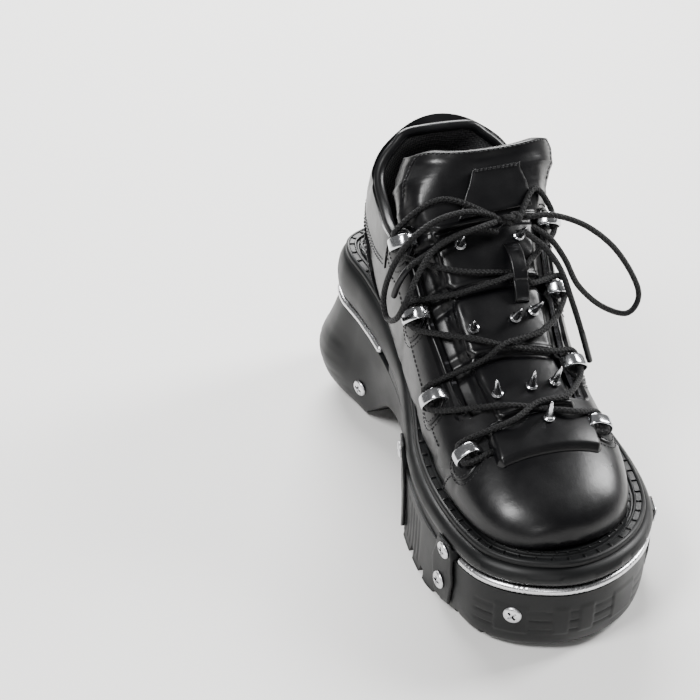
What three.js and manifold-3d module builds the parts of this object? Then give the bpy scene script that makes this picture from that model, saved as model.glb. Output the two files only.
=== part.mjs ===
// Platform boot for a left foot, in millimetres: toe towards -Y, outer side towards +X, ground at z = 0.
import * as THREE from "three";
import { mergeVertices } from "three/addons/utils/BufferGeometryUtils.js";
import Module from "manifold-3d";

const wasm = await Module();
wasm.setup();

// Main sizes of the boot
const SOLE_LENGTH = 283;
const SOLE_WIDTH = 118;
const WELT_LEDGE = 12;
const PLATFORM_HEIGHT = 51;
const HEEL_LIFT = 27;
const TOE_SPRING = 4;
const UPPER_HEIGHT = 133;
const UPPER_WIDTH = SOLE_WIDTH - 2 * WELT_LEDGE;
const WALL = 2.2;
const GAP = 0.3;
const CUT_TOLERANCE = 0.05;

// Sizes of the sole's layers
const MIDSOLE_DEPTH = 16;
const HEEL_CUSHION = 15;
const MIDSOLE_BULGE = 0.8;
const HEEL_FLARE = 11;
const SIDE_FLARE = 1.5;
const GROUND_INSET = 6;
const ARCH_HEIGHT = 38;
const LUG_DEPTH = 4.5;
const PAD_STAND = 2.2;
const LUG_GROOVE = 5;
const WELT_WIDTH = 13;
const WELT_RISE = 3.2;
const WELT_STEP = 0.6 * WELT_RISE;
const WELT_INSET = { foot: 3.6, step: 3.8, top: 5 };
const WELT_GROOVE = { width: 1.4, depth: 1.3 };
const LASTING_MARGIN = 16;
const INSOLE_THICKNESS = 3.5;
const CUSHION_EDGE = 0.9;

// Sizes of the metal parts
const BAR_DIAMETER = 5;
const BAR_GROOVE = 6.2;
const BAR_STAND = 0.9;
const BAR_LIFT = 0.1;
const BAR_SEAT = 0.7;
const SCREW_DIAMETER = 9.5;
const SCREW_RISE = 1.2;
const SPIKE_DIAMETER = 7;
const SPIKE_HEIGHT = 11;
const STUD_SEAT = 0.9;
const SLOT_WIDTH = 1.05;
const SLOT_LENGTH = 5.2;
const LOOP_WIDTH = 15;
const LOOP_HEIGHT = 7.8;
const LOOP_BAND = 8;
const LOOP_METAL = 1.4;

// Sizes of the tongue and the laces
const TONGUE_WIDTH = 88;
const TONGUE_THICKNESS = 6;
const PAD_RISE = 3.5;
const LACE_DIAMETER = 3.2;
const OVERLAY = 1.2;
const STAND_SHEET = 0.8;
const TAB_THICKNESS = 1.8;
const KEEPER_HEIGHT = 7.2;
const KEEPER_ROOM = 2;
const KEEPER_LEATHER = 1;
const KNOT_DIAMETER = 6.4;

// Outline of the sole from above, inner side first: shares of the length from the heel and of half the width.
const SOLE_PLAN = [
  { along: 0.0, side: 0.0 },
  { along: 0.005, side: -0.3 },
  { along: 0.021, side: -0.575 },
  { along: 0.055, side: -0.79 },
  { along: 0.108, side: -0.86 },
  { along: 0.189, side: -0.8 },
  { along: 0.295, side: -0.735 },
  { along: 0.4, side: -0.73 },
  { along: 0.506, side: -0.83 },
  { along: 0.594, side: -0.93 },
  { along: 0.683, side: -0.97 },
  { along: 0.77, side: -0.965 },
  { along: 0.848, side: -0.92 },
  { along: 0.912, side: -0.825 },
  { along: 0.961, side: -0.62 },
  { along: 0.989, side: -0.36 },
  { along: 1.0, side: -0.12 },
  { along: 0.993, side: 0.145 },
  { along: 0.968, side: 0.41 },
  { along: 0.926, side: 0.655 },
  { along: 0.866, side: 0.85 },
  { along: 0.788, side: 0.96 },
  { along: 0.69, side: 1.0 },
  { along: 0.584, side: 0.96 },
  { along: 0.478, side: 0.88 },
  { along: 0.372, side: 0.81 },
  { along: 0.266, side: 0.785 },
  { along: 0.16, side: 0.81 },
  { along: 0.086, side: 0.82 },
  { along: 0.04, side: 0.72 },
  { along: 0.012, side: 0.46 },
];

// How far the sole has climbed towards the heel: share of the length, share of the lift under the
// midsole, and share of the cushion that the midsole gains.
const FOOTBED_RISE = [
  { at: 0, rise: 1, cushion: 1 },
  { at: 0.12, rise: 0.97, cushion: 0.94 },
  { at: 0.25, rise: 0.8, cushion: 0.72 },
  { at: 0.4, rise: 0.45, cushion: 0.34 },
  { at: 0.55, rise: 0.14, cushion: 0.06 },
  { at: 0.68, rise: 0, cushion: 0 },
  { at: 0.85, rise: 0.02, cushion: 0 },
  { at: 1, rise: 0.1, cushion: 0 },
];

// Sections of the last, toe to collar. Foot and crown are the lower and upper end of each section:
// the share of the length from the heel, and the share of the upper's height over the footbed or over
// the platform. Inner, outer and middle are shares of half the upper's width, waist is the height of
// the widest point, corner and crest are the squareness below and above it.
const LAST_COLUMNS = [
  "foot", "lift", "crown", "height", "middle", "inner", "outer", "waist", "corner", "crest",
];
const LAST_SECTIONS = [
  [0.942, 0.04, 0.943, 0.075, -0.14, 0.1, 0.1, 0.5, 2.4, 2.1],
  [0.934, 0.01, 0.932, 0.14, -0.13, 0.38, 0.36, 0.42, 3, 2.1],
  [0.912, 0, 0.902, 0.19, -0.11, 0.62, 0.62, 0.38, 4, 2.1],
  [0.876, 0, 0.862, 0.23, -0.08, 0.8, 0.78, 0.34, 5, 2.1],
  [0.828, 0, 0.806, 0.27, -0.05, 0.92, 0.87, 0.32, 5, 2.2],
  [0.764, 0, 0.744, 0.31, -0.03, 0.99, 0.92, 0.31, 5, 2.2],
  [0.694, 0, 0.688, 0.355, -0.04, 1, 0.92, 0.31, 5, 2.2],
  [0.616, 0, 0.63, 0.41, -0.05, 0.97, 0.9, 0.32, 5, 2.3],
  [0.538, 0, 0.568, 0.49, -0.05, 0.94, 0.88, 0.34, 5, 2.5],
  [0.452, 0, 0.505, 0.59, -0.05, 0.93, 0.88, 0.38, 5, 2.8],
  [0.36, 0, 0.448, 0.7, -0.04, 0.94, 0.9, 0.43, 4.5, 3.1],
  [0.26, 0, 0.405, 0.79, -0.03, 0.96, 0.93, 0.47, 4, 3.3],
  [0.15, 0, 0.376, 0.87, -0.02, 0.94, 0.93, 0.5, 3.4, 3.4],
  [0.085, 0.02, 0.362, 0.92, 0, 0.92, 0.92, 0.52, 2.8, 3.2],
  [0.062, 0.1, 0.354, 0.952, 0, 0.9, 0.9, 0.54, 2.5, 3],
  [0.056, 0.21, 0.348, 0.975, 0, 0.89, 0.89, 0.55, 2.3, 2.8],
  [0.068, 0.335, 0.342, 0.995, 0, 0.87, 0.87, 0.55, 2.15, 2.6],
  [0.09, 0.46, 0.336, 1.015, 0, 0.84, 0.84, 0.55, 2.05, 2.5],
  [0.115, 0.585, 0.33, 1.04, 0, 0.8, 0.8, 0.55, 1.95, 2.4],
  [0.13, 0.71, 0.324, 1.07, 0, 0.76, 0.76, 0.55, 1.9, 2.4],
  [0.14, 0.85, 0.318, 1.11, 0, 0.74, 0.74, 0.55, 1.85, 2.4],
].map((row) => Object.fromEntries(row.map((value, i) => [LAST_COLUMNS[i], value])));

// Top line of the collar and the throat from the side, back to toe: shares of the length and of the
// upper's height.
const TOP_LINE = [
  { along: 0.02, height: 1.01 },
  { along: 0.12, height: 0.99 },
  { along: 0.133, height: 0.93 },
  { along: 0.147, height: 0.86 },
  { along: 0.18, height: 0.785 },
  { along: 0.23, height: 0.73 },
  { along: 0.29, height: 0.7 },
  { along: 0.35, height: 0.69 },
  { along: 0.41, height: 0.655 },
  { along: 0.45, height: 0.58 },
  { along: 0.505, height: 0.485 },
  { along: 0.568, height: 0.4 },
  { along: 0.63, height: 0.335 },
  { along: 0.69, height: 0.295 },
  { along: 0.702, height: 0.38 },
  { along: 0.705, height: 0.6 },
];

// The arch from the side, heel to forefoot: share of the length, share of the arch's height.
const ARCH_LINE = [
  { along: 0.2, height: -0.1 },
  { along: 0.2, height: 0.0 },
  { along: 0.26, height: 0.37 },
  { along: 0.325, height: 0.76 },
  { along: 0.375, height: 0.87 },
  { along: 0.435, height: 0.92 },
  { along: 0.495, height: 1.0 },
  { along: 0.54, height: 0.84 },
  { along: 0.57, height: 0.42 },
  { along: 0.59, height: 0.1 },
  { along: 0.6, height: 0.0 },
  { along: 0.6, height: -0.1 },
];

// The tongue from the flap up: section of the last, half width as a share of half the tongue's width,
// and how much the padding stands out.
const TONGUE_ROWS = [
  { place: 3.85, half: 0.7, pad: 1 },
  { place: 5, half: 0.7, pad: 1 },
  { place: 7, half: 0.76, pad: 1 },
  { place: 9, half: 0.84, pad: 1 },
  { place: 11, half: 0.92, pad: 0.6 },
  { place: 13.5, half: 0.93, pad: 0.3 },
  { place: 16, half: 0.93, pad: 0.3 },
  { place: 17.4, half: 0.88, pad: 0.3 },
];

// Places where the pads of the tongue meet, as sections of the last.
const PAD_SEAMS = [3.85, 5.25, 7.3, 9.1, 10.8];

// Studs on the pads: section of the last, share of the tongue's half width.
const STUDS = [
  { place: 4.8, across: 0.1 },
  { place: 6.05, across: -0.52 },
  { place: 6.05, across: 0.05 },
  { place: 6.15, across: 0.46 },
  { place: 8.15, across: -0.5 },
  { place: 8.2, across: 0.15 },
  { place: 8.35, across: 0.45 },
  { place: 10.25, across: -0.38 },
  { place: 10.3, across: 0.45 },
];

// Lace loops, toe to collar: section of the last, shares of a turn from the crown on either side,
// and where the lace crosses on its way to the next pair.
const LOOPS = [
  { place: 4.8, inner: 0.15, outer: 0.112, crossing: 0.2, aside: 0 },
  { place: 7.1, inner: 0.172, outer: 0.12, crossing: 0.22, aside: -0.15 },
  { place: 9.15, inner: 0.163, outer: 0.138, crossing: 0.1, aside: 0.31 },
  { place: 10.95, inner: 0.148, outer: 0.134, crossing: 0, aside: 0 },
];

// Screws in both sides of the sole, and one at the toe's inner corner: share of the length, height,
// and how far what they hold stands out.
const SIDE_SCREWS = [
  { along: 0.222, z: 23, stand: 0 },
  { along: 0.822, z: 39, stand: PAD_STAND },
  { along: 0.81, z: 17, stand: PAD_STAND },
  { along: 0.545, z: 45, stand: PAD_STAND },
];
const TOE_SCREW = { along: 0.965, z: 24, stand: 0 };
const SCREWS = { inner: [...SIDE_SCREWS, TOE_SCREW], outer: SIDE_SCREWS };

// Reading the tables: the row number at which a column reaches a value, and a smooth value there.
function rowNumber(rows, key, value) {
  const next = rows.findIndex((row, n) => n > 0 && row[key] >= value);
  if (next < 0) return rows.length - 1;
  const [from, to] = [rows[next - 1][key], rows[next][key]];
  return Math.max(0, next - 1 + (value - from) / (to - from));
}

function smoothValue(rows, column, number) {
  const last = rows.length - 1;
  const low = Math.min(Math.floor(number), last - 1);
  const f = number - low;
  const near = (step) => rows[THREE.MathUtils.clamp(low + step, 0, last)][column];
  const [a, b, c, d] = [-1, 0, 1, 2].map(near);
  return b + 0.5 * f * (c - a + f * (2 * a - 5 * b + 4 * c - d + f * (3 * (b - c) + d - a)));
}

const lookUp = (rows, key, value, column) => smoothValue(rows, column, rowNumber(rows, key, value));
const fade = (from, to, value) => THREE.MathUtils.smoothstep(value, from, to);
const lengthAt = (share) => SOLE_LENGTH * (0.5 - share);
const shareAt = (y) => 0.5 - y / SOLE_LENGTH;

// The value between two others at which a test turns.
function solve(low, high, isLow) {
  let [from, to] = [low, high];
  for (let n = 0; n < 30; n += 1) {
    const half = (from + to) / 2;
    if (isLow(half)) from = half;
    else to = half;
  }
  return (from + to) / 2;
}

// Solids
function solidFrom(points, faces) {
  const build = (order) =>
    new wasm.Manifold(
      new wasm.Mesh({
        numProp: 3,
        vertProperties: new Float32Array(points.flat()),
        triVerts: new Uint32Array(faces.map(order).flat()),
      }),
    );
  const solid = build((face) => face);
  return solid.volume() < 0 ? build(([a, b, c]) => [a, c, b]) : solid;
}

function solidOf(geometry) {
  const bare = geometry.clone();
  bare.deleteAttribute("normal");
  bare.deleteAttribute("uv");
  const merged = mergeVertices(bare, 1e-4);
  const position = merged.attributes.position;
  const points = Array.from({ length: position.count }, (_, i) => [
    position.getX(i),
    position.getY(i),
    position.getZ(i),
  ]);
  const index = Array.from(merged.index.array);
  const faces = Array.from({ length: index.length / 3 }, (_, i) => index.slice(3 * i, 3 * i + 3));
  const whole = faces.filter(([a, b, c]) => a !== b && b !== c && c !== a);
  return solidFrom(points, whole);
}

function geometryOf(solid) {
  const mesh = solid.simplify(CUT_TOLERANCE).getMesh();
  const geometry = new THREE.BufferGeometry();
  const count = mesh.vertProperties.length / mesh.numProp;
  const points = new Float32Array(count * 3);
  for (let i = 0; i < count; i += 1) {
    for (let k = 0; k < 3; k += 1) points[3 * i + k] = mesh.vertProperties[mesh.numProp * i + k];
  }
  geometry.setAttribute("position", new THREE.BufferAttribute(points, 3));
  geometry.setIndex(new THREE.BufferAttribute(new Uint32Array(mesh.triVerts), 1));
  geometry.computeVertexNormals();
  return geometry;
}

const largest = (solid) => solid.decompose().sort((a, b) => b.volume() - a.volume())[0];

// A solid through closed rings of points, its two ends closed by strips from side to side.
function loft(rings) {
  const count = rings[0].length;
  const faces = [];
  for (let i = 0; i < rings.length - 1; i += 1) {
    for (let j = 0; j < count; j += 1) {
      const a = i * count + j;
      const b = i * count + ((j + 1) % count);
      faces.push([a, b, b + count], [a, b + count, a + count]);
    }
  }
  const closeEnd = (start, turned) => {
    for (let j = 0; j < count / 2; j += 1) {
      const a = start + j;
      const b = start + j + 1;
      const c = start + ((count - j) % count);
      const d = start + count - j - 1;
      const strip = [
        [a, b, d],
        [a, d, c],
      ].filter((face) => new Set(face).size === 3);
      faces.push(...strip.map(([p, q, r]) => (turned ? [p, r, q] : [p, q, r])));
    }
  };
  closeEnd(0, true);
  closeEnd((rings.length - 1) * count, false);
  return solidFrom(rings.flat(), faces);
}

// A solid between an outer and an inner surface, both given at the same rows and columns.
function slab(outer, inner) {
  const rows = outer.length;
  const columns = outer[0].length;
  const rings = [];
  for (let i = 0; i < rows; i += 1) rings.push([...outer[i], ...[...inner[i]].reverse()]);
  const count = 2 * columns;
  const faces = [];
  for (let i = 0; i < rows - 1; i += 1) {
    for (let j = 0; j < count; j += 1) {
      const a = i * count + j;
      const b = i * count + ((j + 1) % count);
      faces.push([a, b, b + count], [a, b + count, a + count]);
    }
  }
  for (const [start, turned] of [
    [0, true],
    [(rows - 1) * count, false],
  ]) {
    for (let j = 0; j < columns - 1; j += 1) {
      const [a, b] = [start + j, start + j + 1];
      const [c, d] = [start + count - 1 - j, start + count - 2 - j];
      faces.push(...[[a, b, d], [a, d, c]].map(([p, q, r]) => (turned ? [p, r, q] : [p, q, r])));
    }
  }
  return solidFrom(rings.flat(), faces);
}

// A side profile, points of length and height, carried across the boot from one side to the other.
function acrossBoot(profile, fromX = -SOLE_WIDTH, toX = SOLE_WIDTH) {
  const shape = new THREE.Shape(profile.map(([y, z]) => new THREE.Vector2(y, z)));
  const geometry = new THREE.ExtrudeGeometry(shape, { depth: toX - fromX, bevelEnabled: false });
  const turn = new THREE.Matrix4().makeBasis(
    new THREE.Vector3(0, 1, 0),
    new THREE.Vector3(0, 0, 1),
    new THREE.Vector3(1, 0, 0),
  );
  geometry.applyMatrix4(turn);
  geometry.translate(fromX, 0, 0);
  return solidOf(geometry);
}

function smoothProfile(rows, points, place) {
  const curve = new THREE.CatmullRomCurve3(rows.map(place), false, "centripetal");
  return curve.getPoints(points).map(({ x, y }) => [x, y]);
}

// Sole
const readRise = (y, column) => lookUp(FOOTBED_RISE, "at", shareAt(y), column);
const midsoleDepth = (y) => MIDSOLE_DEPTH + HEEL_CUSHION * readRise(y, "cushion");
const midsoleFloor = (y) => PLATFORM_HEIGHT - MIDSOLE_DEPTH + HEEL_LIFT * readRise(y, "rise");
const footbed = (y) => midsoleFloor(y) + midsoleDepth(y);
const ground = (y) => TOE_SPRING * fade(0.86, 1.02, shareAt(y)) ** 1.5;

const planCurve = new THREE.CatmullRomCurve3(
  SOLE_PLAN.map(({ along, side }) => new THREE.Vector3((side * SOLE_WIDTH) / 2, lengthAt(along), 0)),
  true,
  "centripetal",
);
planCurve.arcLengthDivisions = 800;

// Where on the way round the sole, heel to toe and back, the inner or outer side has a given length.
const PLAN_STATIONS = 26;
const planSamples = planCurve.getSpacedPoints(planCurve.arcLengthDivisions).map((point) => point.y);
const toeSample = planSamples.indexOf(Math.min(...planSamples));
const heelSample = planSamples.indexOf(Math.max(...planSamples));

function roundShare(share, side) {
  const y = THREE.MathUtils.clamp(lengthAt(share), planSamples[toeSample], planSamples[heelSample]);
  const count = planSamples.length - 1;
  const inner = side === "inner";
  let [low, high] = inner ? [heelSample, toeSample] : [heelSample + count, toeSample];
  for (let n = 0; n < 40; n += 1) {
    const middle = (low + high) / 2;
    const base = Math.floor(middle);
    const here = THREE.MathUtils.lerp(
      planSamples[base % count],
      planSamples[(base + 1) % count],
      middle - base,
    );
    if (here > y) low = middle;
    else high = middle;
  }
  return (((low + high) / 2) % count) / count;
}

const stationShare = (k) => (1 - Math.cos((Math.PI * k) / PLAN_STATIONS)) / 2;
const stations = Array.from({ length: PLAN_STATIONS + 1 }, (_, k) => stationShare(k));
const roundShares = [
  ...stations.map((share) => roundShare(share, "inner")),
  ...stations.slice(1, -1).reverse().map((share) => roundShare(share, "outer")),
];

function planPoint(round, out) {
  const point = planCurve.getPointAt(round);
  const tangent = planCurve.getTangentAt(round);
  return [point.x + tangent.y * out, point.y - tangent.x * out];
}

function soleRing(out, height) {
  return roundShares.map((round) => {
    const [, edge] = planPoint(round, 0);
    const [x, y] = planPoint(round, out(edge));
    return [x, y, height(y)];
  });
}

// Share of the bar's groove along the side: full round the toe and round the heel, none at the arch.
const grooveShare = (y) => fade(0.825, 0.84, shareAt(y)) + 1 - fade(0.31, 0.33, shareAt(y));
const grooveFloor = (y) => -1 - (BAR_DIAMETER - BAR_SEAT) * grooveShare(y);
const heelFlare = (y) => HEEL_FLARE * (1 - fade(0.08, 0.3, shareAt(y)));

const BULGE_LEVEL = 0.66;
const midsoleLevels = [
  { up: () => GAP, out: grooveFloor },
  { up: () => BAR_GROOVE, out: grooveFloor },
  { up: () => BAR_GROOVE + CUSHION_EDGE, out: () => -0.2 },
  { up: (y) => BULGE_LEVEL * midsoleDepth(y), out: () => MIDSOLE_BULGE },
  { up: (y) => 0.84 * midsoleDepth(y), out: () => -0.2 },
  { up: (y) => 0.96 * midsoleDepth(y), out: () => -2.2 },
  { up: midsoleDepth, out: () => -4.2 },
];
function midsoleForm(grown) {
  const last = midsoleLevels.length - 1;
  const spread = (i) => (i === 0 ? -grown : 0) + (i === last ? grown : 0);
  return loft(
    midsoleLevels.map(({ up, out }, i) =>
      soleRing((y) => out(y) + grown, (y) => midsoleFloor(y) + up(y) + spread(i)),
    ),
  );
}
const midsole = midsoleForm(0);

// The wall of the outsole, level by level: share of the way up to the midsole, shares of the inset and flare.
const OUTSOLE_WALL = [
  { level: 0.0, inset: -1.0, flare: 0.1 },
  { level: 0.07, inset: -0.55, flare: 0.3 },
  { level: 0.25, inset: -0.25, flare: 0.8 },
  { level: 0.5, inset: -0.12, flare: 1.0 },
  { level: 0.8, inset: -0.1, flare: 0.35 },
  { level: 1.0, inset: -0.15, flare: 0.0 },
];

const sideFlare = (y) => fade(0.45, 0.56, shareAt(y)) * (1 - fade(0.74, 0.87, shareAt(y)));
const wallInset = (y) => GROUND_INSET - (GROUND_INSET + SIDE_FLARE) * sideFlare(y);
const wallOut = (number, y) => {
  const read = (column) => smoothValue(OUTSOLE_WALL, column, number);
  return read("inset") * wallInset(y) + read("flare") * heelFlare(y);
};

function outsoleRing(number, thicker) {
  const read = (column) => smoothValue(OUTSOLE_WALL, column, number);
  const out = (y) => wallOut(number, y) + thicker;
  const height = (y) => THREE.MathUtils.lerp(ground(y), midsoleFloor(y), read("level"));
  return soleRing(out, height);
}

function outsoleForm(thicker) {
  const steps = [0, 1, 2, 3, 4, 5];
  return loft(steps.map((number) => outsoleRing(number, thicker)));
}

// A point on the side of the sole: levels of the outsole's wall, then on to the bulge of the midsole.
function wallPoint(round, number, stand) {
  const [, edge] = planPoint(round, 0);
  const last = OUTSOLE_WALL.length - 1;
  const over = Math.max(0, number - last);
  const row = Math.min(number, last);
  const out = THREE.MathUtils.lerp(wallOut(row, edge), MIDSOLE_BULGE, over);
  const [x, y] = planPoint(round, out + stand);
  const level = smoothValue(OUTSOLE_WALL, "level", row);
  const z = THREE.MathUtils.lerp(ground(y), midsoleFloor(y), level);
  return new THREE.Vector3(x, y, z + over * BULGE_LEVEL * midsoleDepth(y));
}

function wallSeat(side, share, z, stand) {
  const round = roundShare(share, side);
  const number = solve(0, OUTSOLE_WALL.length, (value) => wallPoint(round, value, stand).z < z);
  const point = wallPoint(round, number, stand);
  const along = wallPoint((round + 0.002) % 1, number, stand).sub(point);
  const up = wallPoint(round, number + 0.05, stand).sub(point);
  return { point, normal: along.cross(up).normalize() };
}

const archProfile = smoothProfile(ARCH_LINE, 40, ({ along, height }) =>
  new THREE.Vector3(lengthAt(along), height * ARCH_HEIGHT, 0),
);
const outsoleBody = outsoleForm(0).subtract(acrossBoot(archProfile));
const UNDER_GROUND = -5;
const OVER_BOOT = 400;
const grooveAt = (share) => {
  const y = lengthAt(share);
  return acrossBoot([
    [y - LUG_GROOVE / 2, UNDER_GROUND],
    [y + LUG_GROOVE / 2, UNDER_GROUND],
    [y + LUG_GROOVE / 3, LUG_DEPTH],
    [y - LUG_GROOVE / 3, LUG_DEPTH],
  ]);
};
const LUG_GROOVES = [0.065, 0.13, 0.66, 0.72, 0.785, 0.85, 0.915];
const lugged = LUG_GROOVES.reduce((solid, share) => solid.subtract(grooveAt(share)), outsoleBody);
const halfBoot = (fromShare, toShare) => {
  const [from, to] = [lengthAt(fromShare), lengthAt(toShare)];
  return acrossBoot([
    [from, UNDER_GROUND],
    [to, UNDER_GROUND],
    [to, OVER_BOOT],
    [from, OVER_BOOT],
  ]);
};
const HEEL_SEAM = 0.44;
const SEAM_SHARE = GAP / SOLE_LENGTH / 2;
const outsoleForefoot = lugged.intersect(halfBoot(HEEL_SEAM + SEAM_SHARE, 1.2));
const outsoleHeel = lugged.intersect(halfBoot(-0.2, HEEL_SEAM - SEAM_SHARE));

// Raised pads on the side of the sole, inner and outer side alike: share of the length, height.
const FORE_PAD = [
  [0.79, 5],
  [0.835, 5],
  [0.85, 22],
  [0.845, 32],
  [0.842, 45],
  [0.8, 45],
  [0.775, 26],
];
const ARCH_PAD = [
  [0.515, 50],
  [0.555, 49],
  [0.585, 30],
  [0.6, 6],
  [0.585, 3],
  [0.565, 22],
  [0.53, 40],
];
const bulgeHeight = (y) => midsoleFloor(y) + BULGE_LEVEL * midsoleDepth(y);
const bulgeRing = (out) => soleRing(() => out, bulgeHeight);
const wallRings = (out) => OUTSOLE_WALL.map((_, number) => outsoleRing(number, out));
const padBlock = loft([...wallRings(PAD_STAND), bulgeRing(PAD_STAND + MIDSOLE_BULGE)]);
const coreLevels = [UNDER_GROUND, PLATFORM_HEIGHT + HEEL_LIFT];
const core = loft(coreLevels.map((z) => soleRing(() => -1.5 * GROUND_INSET, () => z)));
const soleGrown = outsoleForm(2 * GAP).add(midsoleForm(2 * GAP)).add(core);

function sidePad(profile, side) {
  const band = acrossBoot(
    profile.map(([share, z]) => [lengthAt(share), z]),
    side === "inner" ? -SOLE_WIDTH : 0,
    side === "inner" ? 0 : SOLE_WIDTH,
  );
  return largest(padBlock.intersect(band).subtract(soleGrown));
}

// Last
const LAST_PLACES = 24;
const LAST_SPOKES = 26;
const lastRows = LAST_SECTIONS.length - 1;

function lastPoint(place, turn) {
  const read = (column) => smoothValue(LAST_SECTIONS, column, place);
  const [foot, crown] = [lengthAt(read("foot")), lengthAt(read("crown"))];
  const low = footbed(foot) + GAP + read("lift") * UPPER_HEIGHT;
  const high = PLATFORM_HEIGHT + read("height") * UPPER_HEIGHT;
  const angle = 2 * Math.PI * turn - Math.PI / 2;
  const [across, up] = [Math.cos(angle), Math.sin(angle)];
  const power = 2 / read(up < 0 ? "corner" : "crest");
  const half = (read(across > 0 ? "outer" : "inner") * UPPER_WIDTH) / 2;
  const x = (read("middle") * UPPER_WIDTH) / 2 + Math.sign(across) * half * Math.abs(across) ** power;
  const reach = up < 0 ? read("waist") : 1 - read("waist");
  const v = read("waist") + Math.sign(up) * reach * Math.abs(up) ** power;
  return new THREE.Vector3(x, THREE.MathUtils.lerp(foot, crown, v), THREE.MathUtils.lerp(low, high, v));
}

function lastNormal(place, turn) {
  const step = 0.05;
  const next = lastPoint(Math.min(place + step, lastRows), turn);
  const ahead = next.sub(lastPoint(Math.max(place - step, 0), turn));
  const round = lastPoint(place, turn + 0.004).sub(lastPoint(place, turn - 0.004));
  return ahead.cross(round).normalize();
}

// A point off the last, with outward distances above zero.
function offLast(place, turn, out) {
  return lastPoint(place, turn).addScaledVector(lastNormal(place, turn), out);
}

function lastForm(out) {
  const rings = [];
  for (let i = 0; i <= LAST_PLACES; i += 1) {
    const place = (lastRows * i) / LAST_PLACES;
    const ring = [];
    for (let j = 0; j < LAST_SPOKES; j += 1) {
      ring.push(offLast(place, j / LAST_SPOKES, out).toArray());
    }
    rings.push(ring);
  }
  return loft(rings);
}

// Everything over the top line, lowered for parts that stay clear of the upper's edge.
const topLine = smoothProfile(TOP_LINE, 70, ({ along, height }) =>
  new THREE.Vector3(lengthAt(along), PLATFORM_HEIGHT + height * UPPER_HEIGHT, 0),
);
const overTopLine = (lower) =>
  acrossBoot([
    ...topLine.map(([y, z]) => [y, z - lower]),
    [topLine.at(-1)[0], OVER_BOOT],
    [SOLE_LENGTH, OVER_BOOT],
    [SOLE_LENGTH, topLine[0][1] - lower],
  ]);

// The upper is open underneath, inside a margin that the sole closes.
const UNDER_OPENING = { from: 0.14, to: 0.88, low: -20, high: 6 };
function underOpening(wider) {
  const out = () => wider - WELT_WIDTH - LASTING_MARGIN;
  const heights = [UNDER_OPENING.low, UNDER_OPENING.high];
  const rings = heights.map((rise) => soleRing(out, (y) => footbed(y) + rise));
  return loft(rings).intersect(halfBoot(UNDER_OPENING.from, UNDER_OPENING.to));
}

function upperShell(grown) {
  return lastForm(grown)
    .subtract(lastForm(-WALL - grown))
    .subtract(overTopLine(-grown))
    .subtract(underOpening(-grown));
}
const upper = largest(upperShell(0));
const keepClear = upperShell(GAP);

// Insole, resting on the lasting margin
const insoleRoom = lastForm(-WALL - GAP);
const insoleTop = WALL + 2 * GAP + INSOLE_THICKNESS;
const underInsole = loft(
  [UNDER_GROUND, insoleTop].map((rise) => soleRing(() => 0, (y) => footbed(y) + rise)),
);
const insole = largest(insoleRoom.intersect(underInsole));

// The line round the last at a height over the footbed, heel first, inner side first.
function overFootbed(place, turn) {
  const point = lastPoint(place, turn);
  return point.z - footbed(point.y);
}

function lastTrace(rise, out) {
  const heelPlace = solve(12, 15, (place) => overFootbed(place, 0) < rise);
  const toePlace = solve(0, 2, (place) => overFootbed(place, 0) > rise);
  const half = (sign) =>
    Array.from({ length: PLAN_STATIONS - 1 }, (_, k) => {
      const place = THREE.MathUtils.lerp(heelPlace, toePlace, stationShare(k + 1));
      const turn = solve(0, 0.24, (value) => overFootbed(place, value) < rise);
      return offLast(place, sign < 0 ? 1 - turn : turn, out);
    });
  const ends = [offLast(heelPlace, 0, 0), offLast(toePlace, 0, 0)];
  ends[0].y += out;
  ends[1].y -= out;
  return [ends[0], ...half(-1), ends[1], ...half(1).reverse()];
}

function withinTrace(rise, out) {
  const trace = lastTrace(rise, out);
  const heights = [-WELT_RISE, 4 * WELT_RISE];
  return loft(heights.map((lift) => trace.map(({ x, y }) => [x, y, footbed(y) + lift])));
}

// Welt, a stepped ledge round the foot of the upper
const weltBlock = loft([
  soleRing(() => -WELT_INSET.foot, (y) => footbed(y) + GAP),
  soleRing(() => -WELT_INSET.step, (y) => footbed(y) + WELT_STEP),
  soleRing(() => -WELT_INSET.top, (y) => footbed(y) + WELT_RISE),
]);
const channelSide = (out, from, to) =>
  loft([from, to].map((rise) => soleRing(() => out, (y) => footbed(y) + rise)));
const channelEdge = -0.66 * WELT_WIDTH;
const channelFloor = WELT_RISE - WELT_GROOVE.depth;
const weltChannel = channelSide(channelEdge, channelFloor, 2 * WELT_RISE).subtract(
  channelSide(channelEdge - WELT_GROOVE.width, -WELT_RISE, 3 * WELT_RISE),
);
const welt = largest(weltBlock.subtract(weltChannel).subtract(withinTrace(WELT_RISE + GAP, GAP)));

// Overlays lie on the upper, each cut out by its own profile from the side.
const EDGE_STEP = 1;
const skin = (from, to, lower) =>
  lastForm(to).subtract(lastForm(from)).subtract(overTopLine(lower));
const overlaySkin = skin(GAP, GAP + OVERLAY, EDGE_STEP);
const weltClearance = WELT_RISE + EDGE_STEP;
const aboveWelt = loft(
  [weltClearance, OVER_BOOT].map((rise) => soleRing(() => WELT_WIDTH, (y) => footbed(y) + rise)),
);
const sidePoint = ([share, height]) => [lengthAt(share), PLATFORM_HEIGHT + height * UPPER_HEIGHT];
const overlay = (rows) =>
  overlaySkin.intersect(acrossBoot(rows.map(sidePoint))).intersect(aboveWelt);
const toeCap = largest(
  overlay([
    [1.1, -0.1],
    [1.1, 0.8],
    [0.81, 0.8],
    [0.8, 0.3],
    [0.77, 0.2],
    [0.735, 0.1],
    [0.71, -0.1],
  ]),
);
const heelCounter = largest(
  overlay([
    [-0.2, -0.1],
    [-0.2, 0.55],
    [0.1, 0.55],
    [0.16, 0.52],
    [0.24, 0.4],
    [0.29, 0.25],
    [0.33, -0.1],
  ]),
);
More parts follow.
